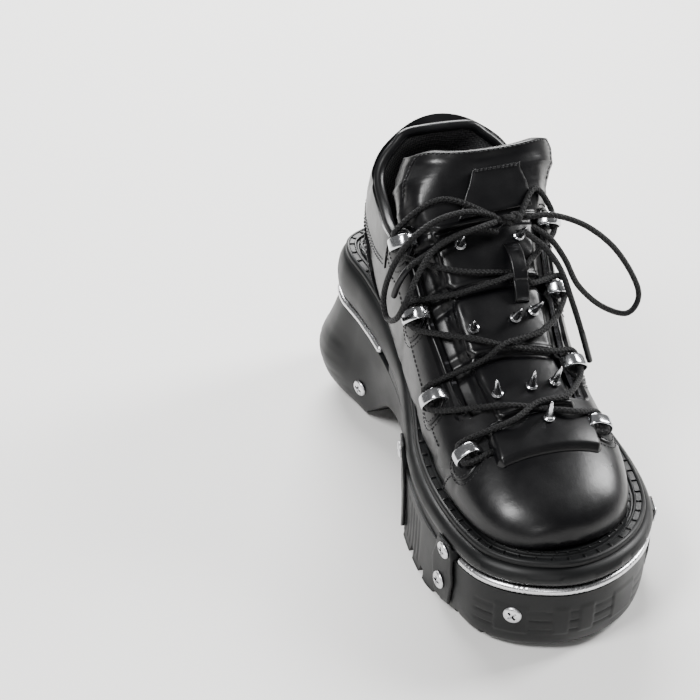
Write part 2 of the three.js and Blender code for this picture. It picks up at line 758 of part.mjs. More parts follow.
const collarBand = largest(
  overlay([
    [-0.2, 0.57],
    [0.11, 0.57],
    [0.18, 0.54],
    [0.27, 0.52],
    [0.34, 0.54],
    [0.345, 0.9],
    [-0.2, 1.4],
  ]),
);
const STAY_DEPTH = 0.13;
const stayRows = TOP_LINE.filter(({ along }) => along > 0.35 && along < 0.7);
const eyestay = largest(
  overlay([
    [0.352, 0.9],
    [0.352, 0.54],
    ...stayRows.map(({ along, height }) => [along, height - STAY_DEPTH]),
    [0.715, 0.12],
    [0.745, 0.16],
    [0.75, 0.25],
    [0.72, 0.33],
    [0.705, 0.42],
    [0.6, 0.9],
  ]),
);

// Tongue: a padded sheet that follows the last, under the eyestays at its sides and over them as a
// flap at the toe.
const TONGUE_STEPS = 32;
const TONGUE_COLUMNS = 12;
const TONGUE_PLACES = [TONGUE_ROWS[0].place, TONGUE_ROWS.at(-1).place];
const CORNER_RISE = 0.5;
const CORNER_DROP = 1.1;
const CORNER_START = 0.72;
const TONGUE_FLARE = { inner: 5, outer: 9 };

function tongueTurn(place, across) {
  const half = (lookUp(TONGUE_ROWS, "place", place, "half") * TONGUE_WIDTH) / 2;
  const last = (smoothValue(LAST_SECTIONS, across > 0 ? "outer" : "inner", place) * UPPER_WIDTH) / 2;
  const share = Math.min(0.995, (Math.abs(across) * half) / last);
  const angle = Math.asin(share ** (smoothValue(LAST_SECTIONS, "crest", place) / 2));
  return 0.5 - (Math.sign(across) * angle) / (2 * Math.PI);
}

function padShape(place) {
  const next = PAD_SEAMS.findIndex((seam) => seam > place);
  if (next < 1) return next === 0 ? 0.6 : 0.75;
  const within = (place - PAD_SEAMS[next - 1]) / (PAD_SEAMS[next] - PAD_SEAMS[next - 1]);
  return 0.25 + 0.75 * Math.sin(Math.PI * THREE.MathUtils.clamp(within, 0.02, 0.98)) ** 0.45;
}

function tongueHeight(place, across) {
  const pad = lookUp(TONGUE_ROWS, "place", place, "pad");
  const inside = -WALL - 4 * GAP;
  const flap = OVERLAY * 2 * (1 - fade(5.4, 6.4, place));
  const standing = (PAD_RISE + flap) * pad * padShape(place) + STAND_SHEET * (1 - pad);
  const reach = THREE.MathUtils.lerp(0.9, 0.7, Math.min(pad, 1));
  const tucked = fade(reach - 0.14, reach + 0.12, Math.abs(across));
  const hidden = THREE.MathUtils.lerp(standing, inside, tucked);
  const free = TONGUE_FLARE[across > 0 ? "outer" : "inner"] * across * across;
  return THREE.MathUtils.lerp(hidden, free, fade(12.2, 14.5, place));
}

function tonguePoint(place, across, raised = 0) {
  const top = fade(12, TONGUE_PLACES[1], place);
  const corner = Math.max(0, Math.abs(across) - CORNER_START) / (1 - CORNER_START);
  const here = place + top * (CORNER_RISE * across * across - CORNER_DROP * corner ** 2.2);
  return offLast(here, tongueTurn(place, across), tongueHeight(place, across) + raised);
}

function tongueNormal(place, across) {
  const along = tonguePoint(place + 0.1, across).sub(tonguePoint(place - 0.1, across));
  const over = tonguePoint(place, across + 0.03).sub(tonguePoint(place, across - 0.03));
  return over.cross(along).normalize();
}

// A sheet on the tongue between two places, two shares of its width and two heights over its face.
function onTongue([fromPlace, toPlace], [fromAcross, toAcross], [low, high], [steps, columns]) {
  const face = (raised) =>
    Array.from({ length: steps + 1 }, (_, i) =>
      Array.from({ length: columns + 1 }, (_, j) => {
        const place = THREE.MathUtils.lerp(fromPlace, toPlace, i / steps);
        const across = THREE.MathUtils.lerp(fromAcross, toAcross, j / columns);
        return tonguePoint(place, across, raised).toArray();
      }),
    );
  return slab(face(high), face(low));
}

const tongueDivisions = [TONGUE_STEPS, TONGUE_COLUMNS];
const tongueSheet = onTongue(TONGUE_PLACES, [-1, 1], [-TONGUE_THICKNESS, 0], tongueDivisions);
const overlayRoom = skin(0, 2 * GAP + OVERLAY, EDGE_STEP - GAP);
const tongue = largest(tongueSheet.subtract(keepClear).subtract(overlayRoom));

const tabHeights = [2 * GAP, 2 * GAP + TAB_THICKNESS];
const pullTab = onTongue([11.8, 14.9], [-0.12, 0.46], tabHeights, [8, 4]);
const keeperBlock = onTongue([8.92, 9.74], [0.2, 0.42], [4 * GAP, KEEPER_HEIGHT], [4, 4]);
const keeperHeights = [KEEPER_ROOM, KEEPER_HEIGHT - KEEPER_LEATHER];
const keeperHole = onTongue([9.0, 9.66], [0, 0.62], keeperHeights, [4, 3]);
const laceKeeper = keeperBlock.subtract(keeperHole);

// Fittings are made upright at the origin and set on a seat: a point and the way out of the surface.
function seated(solid, point, normal, ahead) {
  const side = ahead.clone().cross(normal).normalize();
  const forward = normal.clone().cross(side).normalize();
  const matrix = new THREE.Matrix4().makeBasis(side, forward, normal).setPosition(point);
  return solid.transform(matrix.elements.map((value) => value));
}

function turned(profile, sides) {
  const points = profile.map(([r, z]) => new THREE.Vector2(r, z));
  return solidOf(new THREE.LatheGeometry(points, sides).rotateX(Math.PI / 2));
}

function slot(width, depth, height, at) {
  return solidOf(new THREE.BoxGeometry(width, depth, height).translate(0, 0, at));
}

const screwRadius = SCREW_DIAMETER / 2;
const screwHead = turned(
  [
    [0, 0],
    [screwRadius, 0],
    [screwRadius, 0.45 * SCREW_RISE],
    [0.72 * screwRadius, SCREW_RISE],
    [0, SCREW_RISE],
  ],
  12,
)
  .subtract(slot(SLOT_LENGTH, SLOT_WIDTH, SCREW_RISE, 0.95 * SCREW_RISE))
  .subtract(slot(SLOT_WIDTH, SLOT_LENGTH, SCREW_RISE, 0.95 * SCREW_RISE));

const studRadius = SPIKE_DIAMETER / 2;
const stud = turned(
  [
    [0, 0],
    [studRadius, 0],
    [0.9 * studRadius, 0.12 * SPIKE_HEIGHT],
    [0.62 * studRadius, 0.3 * SPIKE_HEIGHT],
    [0.14 * studRadius, 0.97 * SPIKE_HEIGHT],
    [0, SPIKE_HEIGHT],
  ],
  8,
);

const towardsThroat = (half, height) => [
  [-half, 0],
  [half, 0],
  [0.62 * half, height],
  [-0.62 * half, height],
];
const flatPoints = (profile, lift) => profile.map(([x, y]) => new THREE.Vector2(x, y + lift));
const loopShape = new THREE.Shape(flatPoints(towardsThroat(LOOP_WIDTH / 2, LOOP_HEIGHT), 0));
const loopHole = towardsThroat(LOOP_WIDTH / 2 - 1.5 * LOOP_METAL, LOOP_HEIGHT - 2 * LOOP_METAL);
loopShape.holes.push(new THREE.Path(flatPoints(loopHole, LOOP_METAL).reverse()));
const laceLoop = solidOf(
  new THREE.ExtrudeGeometry(loopShape, { depth: LOOP_BAND, bevelEnabled: false })
    .translate(0, 0, -LOOP_BAND / 2)
    .rotateX(Math.PI / 2),
);

// Bars in the groove between midsole and outsole, with round ends
const ROUND_SIDES = 8;
function tubeAlong(points, diameter, steps, closedEnds = true) {
  const extrudePath = new THREE.CatmullRomCurve3(points, false, "centripetal");
  const ring = new THREE.Shape(
    Array.from({ length: ROUND_SIDES }, (_, i) => {
      const angle = (2 * Math.PI * (i + 0.5)) / ROUND_SIDES;
      return new THREE.Vector2((Math.cos(angle) * diameter) / 2, (Math.sin(angle) * diameter) / 2);
    }),
  );
  const settings = { steps, extrudePath, bevelEnabled: false };
  const tube = solidOf(new THREE.ExtrudeGeometry(ring, settings));
  if (!closedEnds) return tube;
  const ball = ({ x, y, z }) =>
    solidOf(new THREE.SphereGeometry(0.49 * diameter, ROUND_SIDES, 4).translate(x, y, z));
  return tube.add(ball(points[0])).add(ball(points.at(-1)));
}

function soleBar(fromRound, toRound, steps, diameter = BAR_DIAMETER) {
  const points = Array.from({ length: steps + 1 }, (_, i) => {
    const way = THREE.MathUtils.lerp(fromRound, toRound, i / steps);
    const round = THREE.MathUtils.euclideanModulo(way, 1);
    const [x, y] = planPoint(round, BAR_STAND - BAR_DIAMETER / 2);
    return new THREE.Vector3(x, y, midsoleFloor(y) + BAR_GROOVE / 2 + BAR_LIFT);
  });
  return tubeAlong(points, diameter, steps);
}
const toeBarEnds = [roundShare(0.862, "inner"), roundShare(0.862, "outer"), 24];
const heelBarEnds = [roundShare(0.295, "outer") - 1, roundShare(0.295, "inner"), 28];
const toeBar = soleBar(...toeBarEnds);
const heelBar = soleBar(...heelBarEnds);
const roomDiameter = BAR_DIAMETER + 2 * GAP;
const barRoom = soleBar(...toeBarEnds, roomDiameter).add(soleBar(...heelBarEnds, roomDiameter));

// Laces
const loopSeat = ({ place, inner, outer }, side) => {
  const round = 0.5 + (side === "inner" ? inner : -outer);
  const out = 2 * GAP + OVERLAY;
  const point = offLast(place, round, out);
  const ahead = offLast(place + 0.2, round, out).sub(offLast(place - 0.2, round, out)).normalize();
  return { point, normal: lastNormal(place, round), ahead };
};
const loopSeats = {
  inner: LOOPS.map((row) => loopSeat(row, "inner")),
  outer: LOOPS.map((row) => loopSeat(row, "outer")),
};
const laceHeight = LOOP_HEIGHT / 2;
const inLoop = ({ point, normal, ahead }, step) =>
  point.clone().addScaledVector(normal, laceHeight).addScaledVector(ahead, step);
const overPads = (place, across, extra) =>
  tonguePoint(place, across).addScaledVector(tongueNormal(place, across), LACE_DIAMETER / 2 + extra);
const laceSpan = (from, to, middle) => {
  const reach = LOOP_BAND / 2 + 3;
  return [inLoop(from, -1), inLoop(from, reach), ...middle, inLoop(to, -reach), inLoop(to, 1)];
};
const crossings = LOOPS.slice(0, -1).flatMap((row, i) => {
  const step = LOOPS[i + 1].place - row.place;
  const middlePlace = row.place + row.crossing * step;
  const way = (side) => [
    overPads(middlePlace - 0.15 * step, -0.5 * side, 3),
    overPads(middlePlace, row.aside, 2.2),
    overPads(middlePlace + 0.15 * step, 0.5 * side, 3),
  ];
  return [
    laceSpan(loopSeats.inner[i], loopSeats.outer[i + 1], way(1)),
    laceSpan(loopSeats.outer[i], loopSeats.inner[i + 1], way(-1)),
  ];
});
const laceBars = crossings
  .map((points) => tubeAlong(points, LACE_DIAMETER, 12, false))
  .reduce((a, b) => a.add(b));

// Bow: routes of the loose lace in mm from the middle of the last, picked by eye.
const KNOT_ROUTE = [[6.5, 20, 160.5], [12, 18, 161], [17.5, 17, 158.5]];
const BOW_LOOP_INNER = [
  [2.3, 20.5, 162], [-8, 20, 166], [-18, 20, 166.5], [-31, 20, 163], [-45, 17, 155], [-53, 18, 140],
  [-56, 21, 122], [-56, 15, 112], [-55.5, 2, 119], [-52, -2, 131], [-43, 5, 143], [-33, 11, 152],
  [-21, 12, 158], [-9, 12, 161], [1, 14.5, 161.5],
];
const BOW_LOOP_OUTER = [
  [21.4, 17.5, 160.3], [36, 15, 160], [54, 11, 152], [72, 10, 134], [86, 10, 108], [81, 10, 95],
  [65, 10, 102], [49, 8, 119], [39, 6, 138], [31, 9, 150], [22.5, 12.5, 156.5],
];
const LACE_END_INNER = [
  [2.5, 15, 155.5], [-9, 17, 157], [-22, 17, 153.5], [-34, 17, 146.5], [-45, 13, 142.5],
  [-50.5, 14, 133], [-52.5, 15, 125],
];
const LACE_END_OUTER = [
  [18, 9, 155], [25, 1, 150], [31.5, -6, 140], [36.5, -13, 124], [42, -17, 106], [47, -19, 89],
];
const cord = (route, diameter, steps) =>
  tubeAlong(route.map((point) => new THREE.Vector3(...point)), diameter, steps);

const parts = [];
function addPart(name, solid, finish) {
  const material = new THREE.MeshStandardMaterial(finish);
  const mesh = new THREE.Mesh(geometryOf(solid), material);
  mesh.name = name;
  parts.push(mesh);
}
const rubber = { color: 0x17181a, roughness: 0.6, metalness: 0 };
const leather = { color: 0x101113, roughness: 0.35, metalness: 0 };
const cloth = { color: 0x141414, roughness: 0.9, metalness: 0 };
const steel = { color: 0xc9ccd0, roughness: 0.25, metalness: 1 };

addPart("midsole", largest(midsole.subtract(barRoom)), rubber);
addPart("outsole_forefoot", largest(outsoleForefoot.subtract(barRoom)), rubber);
addPart("outsole_heel", largest(outsoleHeel.subtract(barRoom)), rubber);
addPart("welt", welt, rubber);
addPart("upper", upper, leather);
addPart("insole", insole, cloth);
addPart("toe_cap", toeCap, leather);
addPart("heel_counter", heelCounter, leather);
addPart("collar_band", collarBand, leather);
addPart("eyestay", eyestay, leather);
addPart("tongue", tongue, leather);
addPart("pull_tab", pullTab, leather);
addPart("lace_keeper", laceKeeper, leather);
addPart("toe_bar", toeBar, steel);
addPart("heel_bar", heelBar, steel);
for (const side of ["inner", "outer"]) {
  addPart(`forefoot_pad_${side}`, sidePad(FORE_PAD, side), rubber);
  addPart(`arch_pad_${side}`, sidePad(ARCH_PAD, side), rubber);
  const seats = SCREWS[side].map(({ along, z, stand }) => wallSeat(side, along, z, stand));
  seats.forEach(({ point, normal }, i) => {
    const seat = point.addScaledVector(normal, GAP);
    addPart(`screw_${side}_${i + 1}`, seated(screwHead, seat, normal, new THREE.Vector3(0, 0, 1)), steel);
  });
}
STUDS.forEach(({ place, across }, i) => {
  const normal = tongueNormal(place, across);
  const seat = tonguePoint(place, across).addScaledVector(normal, STUD_SEAT);
  addPart(`stud_${i + 1}`, seated(stud, seat, normal, new THREE.Vector3(0, 0, 1)), steel);
});
for (const [side, seats] of Object.entries(loopSeats)) {
  seats.forEach(({ point, normal, ahead }, i) => {
    addPart(`lace_loop_${side}_${i + 1}`, seated(laceLoop, point, normal, ahead), steel);
  });
}
addPart("lace_bars", laceBars, cloth);
addPart("lace_knot", cord(KNOT_ROUTE, KNOT_DIAMETER, 3), cloth);
addPart("bow_loop_inner", cord(BOW_LOOP_INNER, LACE_DIAMETER, 26), cloth);
addPart("bow_loop_outer", cord(BOW_LOOP_OUTER, LACE_DIAMETER, 26), cloth);
addPart("lace_end_inner", cord(LACE_END_INNER, LACE_DIAMETER, 11), cloth);
addPart("lace_end_outer", cord(LACE_END_OUTER, LACE_DIAMETER, 11), cloth);

// The frame's origin is the middle of the boot on the ground, the loose lace left out.
const firm = new THREE.Box3();
for (const mesh of parts) {
  if (!/knot|bow|lace_end/.test(mesh.name)) firm.union(new THREE.Box3().setFromObject(mesh));
}
const middle = firm.getCenter(new THREE.Vector3());
parts.forEach((mesh) => mesh.geometry.translate(-middle.x, -middle.y, 0));
const root = new THREE.Group();
root.add(...parts);

export default root;
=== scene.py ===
"""A black leather platform boot with spikes on its tongue, lace loops and an arched sole with metal bars."""

import math

import bmesh
import bpy
import numpy as np
from mathutils import Matrix, Vector
from mathutils.bvhtree import BVHTree
from mathutils.kdtree import KDTree


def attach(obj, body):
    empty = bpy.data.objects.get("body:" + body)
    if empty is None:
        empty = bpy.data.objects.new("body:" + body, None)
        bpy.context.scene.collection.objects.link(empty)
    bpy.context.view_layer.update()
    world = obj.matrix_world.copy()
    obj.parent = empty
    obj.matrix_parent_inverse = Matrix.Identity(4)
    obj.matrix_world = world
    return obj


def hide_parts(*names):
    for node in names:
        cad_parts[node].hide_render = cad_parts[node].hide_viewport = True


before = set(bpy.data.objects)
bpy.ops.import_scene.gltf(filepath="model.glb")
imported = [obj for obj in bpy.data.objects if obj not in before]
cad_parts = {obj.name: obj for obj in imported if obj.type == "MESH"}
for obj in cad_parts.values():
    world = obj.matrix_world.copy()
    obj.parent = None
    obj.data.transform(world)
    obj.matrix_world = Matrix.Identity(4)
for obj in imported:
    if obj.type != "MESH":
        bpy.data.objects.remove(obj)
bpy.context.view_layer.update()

# Sizes in mm, in the frame of the part before its middle is moved to the origin
MM = 0.001
ORIGIN = np.array([0.12306, 4.73932, 0.0])
SOLE_LENGTH = 283
SOLE_WIDTH = 118
PLATFORM_HEIGHT = 51
HEEL_LIFT = 27
TOE_SPRING = 4
UPPER_HEIGHT = 133
WELT_LEDGE = 12
UPPER_WIDTH = SOLE_WIDTH - 2 * WELT_LEDGE
WALL = 2.2
GAP = 0.3
OVERLAY = 1.2
MIDSOLE_DEPTH = 16
HEEL_CUSHION = 15
MIDSOLE_BULGE = 0.8
HEEL_FLARE = 11
SIDE_FLARE = 1.5
GROUND_INSET = 6
ARCH_HEIGHT = 38
LUG_DEPTH = 4.5
LUG_GROOVE = 5
BAR_DIAMETER = 5
BAR_GROOVE = 6.2
TONGUE_WIDTH = 88
TONGUE_THICKNESS = 6
PAD_RISE = 3.5
LACE_DIAMETER = 3.2
LOOP_BAND = 8
LOOP_HEIGHT = 7.8
CORNER_RISE = 0.5
FLARE_INNER = 5
FLARE_OUTER = 9
CORNER_DROP = 1.1
CORNER_START = 0.72


def table(columns, rows):
    """A table with named columns, each an array."""
    values = np.array(rows, float).T
    return dict(zip(columns.split(), values))


SOLE_PLAN = table(
    "along side",
    [
        (0.0, 0.0), (0.005, -0.3), (0.021, -0.575), (0.055, -0.79), (0.108, -0.86), (0.189, -0.8),
        (0.295, -0.735), (0.4, -0.73), (0.506, -0.83), (0.594, -0.93), (0.683, -0.97), (0.77, -0.965),
        (0.848, -0.92), (0.912, -0.825), (0.961, -0.62), (0.989, -0.36), (1.0, -0.12), (0.993, 0.145),
        (0.968, 0.41), (0.926, 0.655), (0.866, 0.85), (0.788, 0.96), (0.69, 1.0), (0.584, 0.96),
        (0.478, 0.88), (0.372, 0.81), (0.266, 0.785), (0.16, 0.81), (0.086, 0.82), (0.04, 0.72),
        (0.012, 0.46),
    ],
)
FOOTBED_RISE = table(
    "at rise cushion",
    [
        (0.0, 1.0, 1.0), (0.12, 0.97, 0.94), (0.25, 0.8, 0.72), (0.4, 0.45, 0.34),
        (0.55, 0.14, 0.06), (0.68, 0.0, 0.0), (0.85, 0.02, 0.0), (1.0, 0.1, 0.0),
    ],
)
OUTSOLE_WALL = table(
    "level inset flare",
    [
        (0.0, -1.0, 0.1), (0.07, -0.55, 0.3), (0.25, -0.25, 0.8),
        (0.5, -0.12, 1.0), (0.8, -0.1, 0.35), (1.0, -0.15, 0.0),
    ],
)
ARCH_LINE = [
    (0.2, -0.1), (0.2, 0.0), (0.26, 0.37), (0.325, 0.76), (0.375, 0.87), (0.435, 0.92),
    (0.495, 1.0), (0.54, 0.84), (0.57, 0.42), (0.59, 0.1), (0.6, 0.0), (0.6, -0.1),
]
LUG_GROOVES = [0.065, 0.13, 0.66, 0.72, 0.785, 0.85, 0.915]
LAST = table(
    "foot lift crown height middle inner outer waist corner crest",
    [
        (0.942, 0.04, 0.943, 0.075, -0.14, 0.1, 0.1, 0.5, 2.4, 2.1),
        (0.934, 0.01, 0.932, 0.14, -0.13, 0.38, 0.36, 0.42, 3, 2.1),
        (0.912, 0, 0.902, 0.19, -0.11, 0.62, 0.62, 0.38, 4, 2.1),
        (0.876, 0, 0.862, 0.23, -0.08, 0.8, 0.78, 0.34, 5, 2.1),
        (0.828, 0, 0.806, 0.27, -0.05, 0.92, 0.87, 0.32, 5, 2.2),
        (0.764, 0, 0.744, 0.31, -0.03, 0.99, 0.92, 0.31, 5, 2.2),
        (0.694, 0, 0.688, 0.355, -0.04, 1, 0.92, 0.31, 5, 2.2),
        (0.616, 0, 0.63, 0.41, -0.05, 0.97, 0.9, 0.32, 5, 2.3),
        (0.538, 0, 0.568, 0.49, -0.05, 0.94, 0.88, 0.34, 5, 2.5),
        (0.452, 0, 0.505, 0.59, -0.05, 0.93, 0.88, 0.38, 5, 2.8),
        (0.36, 0, 0.448, 0.7, -0.04, 0.94, 0.9, 0.43, 4.5, 3.1),
        (0.26, 0, 0.405, 0.79, -0.03, 0.96, 0.93, 0.47, 4, 3.3),
        (0.15, 0, 0.376, 0.87, -0.02, 0.94, 0.93, 0.5, 3.4, 3.4),
        (0.085, 0.02, 0.362, 0.92, 0, 0.92, 0.92, 0.52, 2.8, 3.2),
        (0.062, 0.1, 0.354, 0.952, 0, 0.9, 0.9, 0.54, 2.5, 3),
        (0.056, 0.21, 0.348, 0.975, 0, 0.89, 0.89, 0.55, 2.3, 2.8),
        (0.068, 0.335, 0.342, 0.995, 0, 0.87, 0.87, 0.55, 2.15, 2.6),
        (0.09, 0.46, 0.336, 1.015, 0, 0.84, 0.84, 0.55, 2.05, 2.5),
        (0.115, 0.585, 0.33, 1.04, 0, 0.8, 0.8, 0.55, 1.95, 2.4),
        (0.13, 0.71, 0.324, 1.07, 0, 0.76, 0.76, 0.55, 1.9, 2.4),
        (0.14, 0.85, 0.318, 1.11, 0, 0.74, 0.74, 0.55, 1.85, 2.4),
    ],
)
TONGUE_ROWS = table(
    "place half pad",
    [
        (3.85, 0.7, 1), (5, 0.7, 1), (7, 0.76, 1), (9, 0.84, 1),
        (11, 0.92, 0.6), (13.5, 0.93, 0.3), (16, 0.93, 0.3), (17.4, 0.88, 0.3),
    ],
)
# Sideways shifts of the tongue's two edges in mm, as the standing leather spreads
EDGE_SHIFT = table(
    "place inner outer",
    [
        (10.4, 0, 0), (10.8, -1.5, 1.5), (11.3, -3.6, 5), (11.7, -4.6, 7.4), (12.1, -4.8, 8.8),
        (12.6, -3.6, 8.8), (13.1, -1.4, 7), (13.6, 1, 4.2), (14.2, 3, 1.6), (15, 4.6, 0), (16, 6, -0.8),
        (17.4, 7.4, -2.5),
    ],
)
PAD_SEAMS = [3.85, 5.25, 7.3, 9.1, 10.8]
TOP_LINE = [
    (0.02, 1.0), (0.1, 0.985), (0.118, 0.96), (0.133, 0.92), (0.15, 0.865), (0.18, 0.79), (0.23, 0.73),
    (0.29, 0.7), (0.35, 0.69), (0.41, 0.655), (0.45, 0.58), (0.505, 0.485), (0.568, 0.4), (0.63, 0.335),
    (0.69, 0.295), (0.702, 0.38), (0.705, 0.6),
]
OVERLAYS = {
    "toe_cap": [(1.1, -0.1), (1.1, 0.8), (0.81, 0.8), (0.8, 0.3), (0.77, 0.2), (0.735, 0.1), (0.71, -0.1)],
    "heel_counter": [
        (-0.2, -0.1), (-0.2, 0.55), (0.1, 0.55), (0.16, 0.52), (0.24, 0.4), (0.29, 0.25), (0.33, -0.1),
    ],
    "collar_band": [
        (-0.2, 0.57), (0.11, 0.57), (0.18, 0.54), (0.27, 0.52), (0.34, 0.54), (0.345, 0.9), (-0.2, 1.4),
    ],
    "eyestay": [
        (0.352, 0.9), (0.352, 0.54), (0.41, 0.525), (0.45, 0.45), (0.505, 0.355), (0.568, 0.27),
        (0.63, 0.205), (0.69, 0.165), (0.715, 0.12), (0.745, 0.16), (0.75, 0.25), (0.72, 0.33),
        (0.705, 0.42), (0.6, 0.9),
    ],
}
LOOPS = table(
    "place inner outer crossing aside",
    [
        (4.8, 0.15, 0.112, 0.2, 0), (7.1, 0.172, 0.12, 0.22, -0.15),
        (9.15, 0.163, 0.138, 0.1, 0.31), (10.95, 0.148, 0.134, 0, 0),
    ],
)

# Camera found from the photo: distance and focal length in mm and pixels, angles in degrees
PHOTO_WIDTH = 700
SENSOR = 36
FOCAL_PIXELS = 2157
CAMERA_DISTANCE = 1200
CAMERA_RISE = 33.8
CAMERA_TURN = -18.2
CAMERA_ROLL = 1.7
CAMERA_TARGET = (-59.6, 59.7, 60.0)


def photo_camera():
    rise, turn, roll = (math.radians(a) for a in (CAMERA_RISE, CAMERA_TURN, CAMERA_ROLL))
    back = Vector((math.sin(turn) * math.cos(rise), -math.cos(turn) * math.cos(rise), math.sin(rise)))
    right = (-back).cross(Vector((0, 0, 1))).normalized()
    up = right.cross(-back)
    level = Matrix((right, up, back)).transposed()
    turned = level @ Matrix.Rotation(roll, 3, "Z")
    data = bpy.data.cameras.new("photo_camera")
    data.sensor_width = SENSOR
    data.lens = FOCAL_PIXELS / PHOTO_WIDTH * SENSOR
    data.clip_start = 0.05
    camera = bpy.data.objects.new("photo_camera", data)
    bpy.context.collection.objects.link(camera)
    place = Vector(CAMERA_TARGET) * MM + back * CAMERA_DISTANCE * MM
    camera.matrix_world = Matrix.Translation(place) @ turned.to_4x4()
    bpy.context.scene.camera = camera


# Reading the tables
def smooth_value(rows, column, number):
    values = rows[column]
    last = len(values) - 1
    number = np.asarray(number, float)
    low = np.minimum(np.floor(number), last - 1).astype(int)
    f = number - low
    a, b, c, d = (values[np.clip(low + step, 0, last)] for step in (-1, 0, 1, 2))
    return b + 0.5 * f * (c - a + f * (2 * a - 5 * b + 4 * c - d + f * (3 * (b - c) + d - a)))


def look_up(rows, key, value, column):
    return smooth_value(rows, column, np.interp(value, rows[key], np.arange(len(rows[key]))))


def fade(start, end, value):
    t = np.clip((np.asarray(value, float) - start) / (end - start), 0, 1)
    return t * t * (3 - 2 * t)


def length_at(share):
    return SOLE_LENGTH * (0.5 - np.asarray(share, float))


def share_at(y):
    return 0.5 - np.asarray(y, float) / SOLE_LENGTH


def unit(vectors):
    return vectors / np.linalg.norm(vectors, axis=-1, keepdims=True)


# Meshes
def linear(hexadecimal):
    """An sRGB colour as linear values."""
    parts = [(hexadecimal >> shift & 255) / 255 for shift in (16, 8, 0)]
    return [c / 12.92 if c <= 0.04045 else ((c + 0.055) / 1.055) ** 2.4 for c in parts] + [1]


def mesh_object(name, points, faces, smooth=True):
    """An object from points in mm of the part's source."""
    mesh = bpy.data.meshes.new(name)
    mesh.from_pydata(((np.asarray(points, float) - ORIGIN) * MM).tolist(), [], faces)
    mesh.validate()
    obj = bpy.data.objects.new(name, mesh)
    bpy.context.collection.objects.link(obj)
    if smooth:
        mesh.shade_smooth()
    return obj


def read(items, attribute, width=1, kind=float):
    """One attribute of all vertices, loops or faces of a mesh."""
    values = np.zeros(len(items) * width, kind)
    items.foreach_get(attribute, values)
    return values


def alone(obj):
    bpy.ops.object.select_all(action="DESELECT")
    obj.select_set(True)
    bpy.context.view_layer.objects.active = obj


def apply_modifier(obj, kind, **settings):
    alone(obj)
    modifier = obj.modifiers.new("step", kind)
    for key, value in settings.items():
        setattr(modifier, key, value)
    bpy.ops.object.modifier_apply(modifier=modifier.name)


def combine(obj, other, operation="DIFFERENCE", keep=False):
    apply_modifier(obj, "BOOLEAN", operation=operation, object=other, solver="MANIFOLD")
    if not keep:
        bpy.data.objects.remove(other)
    return obj


def outward(obj):
    bm = bmesh.new()
    bm.from_mesh(obj.data)
    bmesh.ops.recalc_face_normals(bm, faces=bm.faces)
    bm.to_mesh(obj.data)
    bm.free()


def finish_piece(obj, material, replaced=(), angle=None):
    if not any(obj.data.materials):
        obj.data.materials.clear()
        obj.data.materials.append(material)
    if angle is not None:
        alone(obj)
        bpy.ops.object.shade_smooth_by_angle(angle=math.radians(angle))
    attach(obj, "root")
    if replaced:
        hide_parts(*replaced)
    return obj


def joined(name, pieces):
    bpy.ops.object.select_all(action="DESELECT")
    for piece in pieces:
        piece.select_set(True)
    bpy.context.view_layer.objects.active = pieces[0]
    if len(pieces) > 1:
        bpy.ops.object.join()
    pieces[0].name = name
    return pieces[0]


def grid_faces(rows, columns, closed=False):
    faces = []
    for i in range(rows - 1):
        for j in range(columns if closed else columns - 1):
            k = (j + 1) % columns
            faces.append((i * columns + j, i * columns + k, (i + 1) * columns + k, (i + 1) * columns + j))
    return faces


def loft(name, rings):
    """A closed body through rings of the same number of points."""
    rings = np.asarray(rings)
    count, columns, _ = rings.shape
    faces = grid_faces(count, columns, closed=True)
    faces.append(tuple(range(columns))[::-1])
    faces.append(tuple((count - 1) * columns + j for j in range(columns)))
    obj = mesh_object(name, rings.reshape(-1, 3), faces)
    outward(obj)
    return obj


def slab(name, face, back):
    """A body between two grids of points."""
    rows, columns, _ = face.shape
    count = rows * columns
    faces = grid_faces(rows, columns)
    faces += [tuple(count + i for i in f[::-1]) for f in grid_faces(rows, columns)]
    rim = [(0, j) for j in range(columns)] + [(i, columns - 1) for i in range(1, rows)]
    rim += [(rows - 1, j) for j in range(columns - 2, -1, -1)] + [(i, 0) for i in range(rows - 2, 0, -1)]
    ids = [i * columns + j for i, j in rim]
    for a, b in zip(ids, ids[1:] + ids[:1]):
        faces.append((b, a, a + count, b + count))
    obj = mesh_object(name, np.concatenate([face.reshape(-1, 3), back.reshape(-1, 3)]), faces)
    outward(obj)
    return obj


def resampled(points, step):
    """Points at even steps along a smooth line through the given ones."""
    points = np.asarray(points, float)
    fine = np.linspace(0, len(points) - 1, 40 * len(points))
    rows = {axis: points[:, axis] for axis in range(3)}
    line = np.stack([smooth_value(rows, axis, fine) for axis in range(3)], 1)
    far = np.concatenate([[0], np.cumsum(np.linalg.norm(np.diff(line, axis=0), axis=1))])
    count = max(3, int(round(far[-1] / step)) + 1)
    even = np.linspace(0, far[-1], count)
    return np.stack([np.interp(even, far, line[:, axis]) for axis in range(3)], 1)


TIP_RADIUS = 0.02


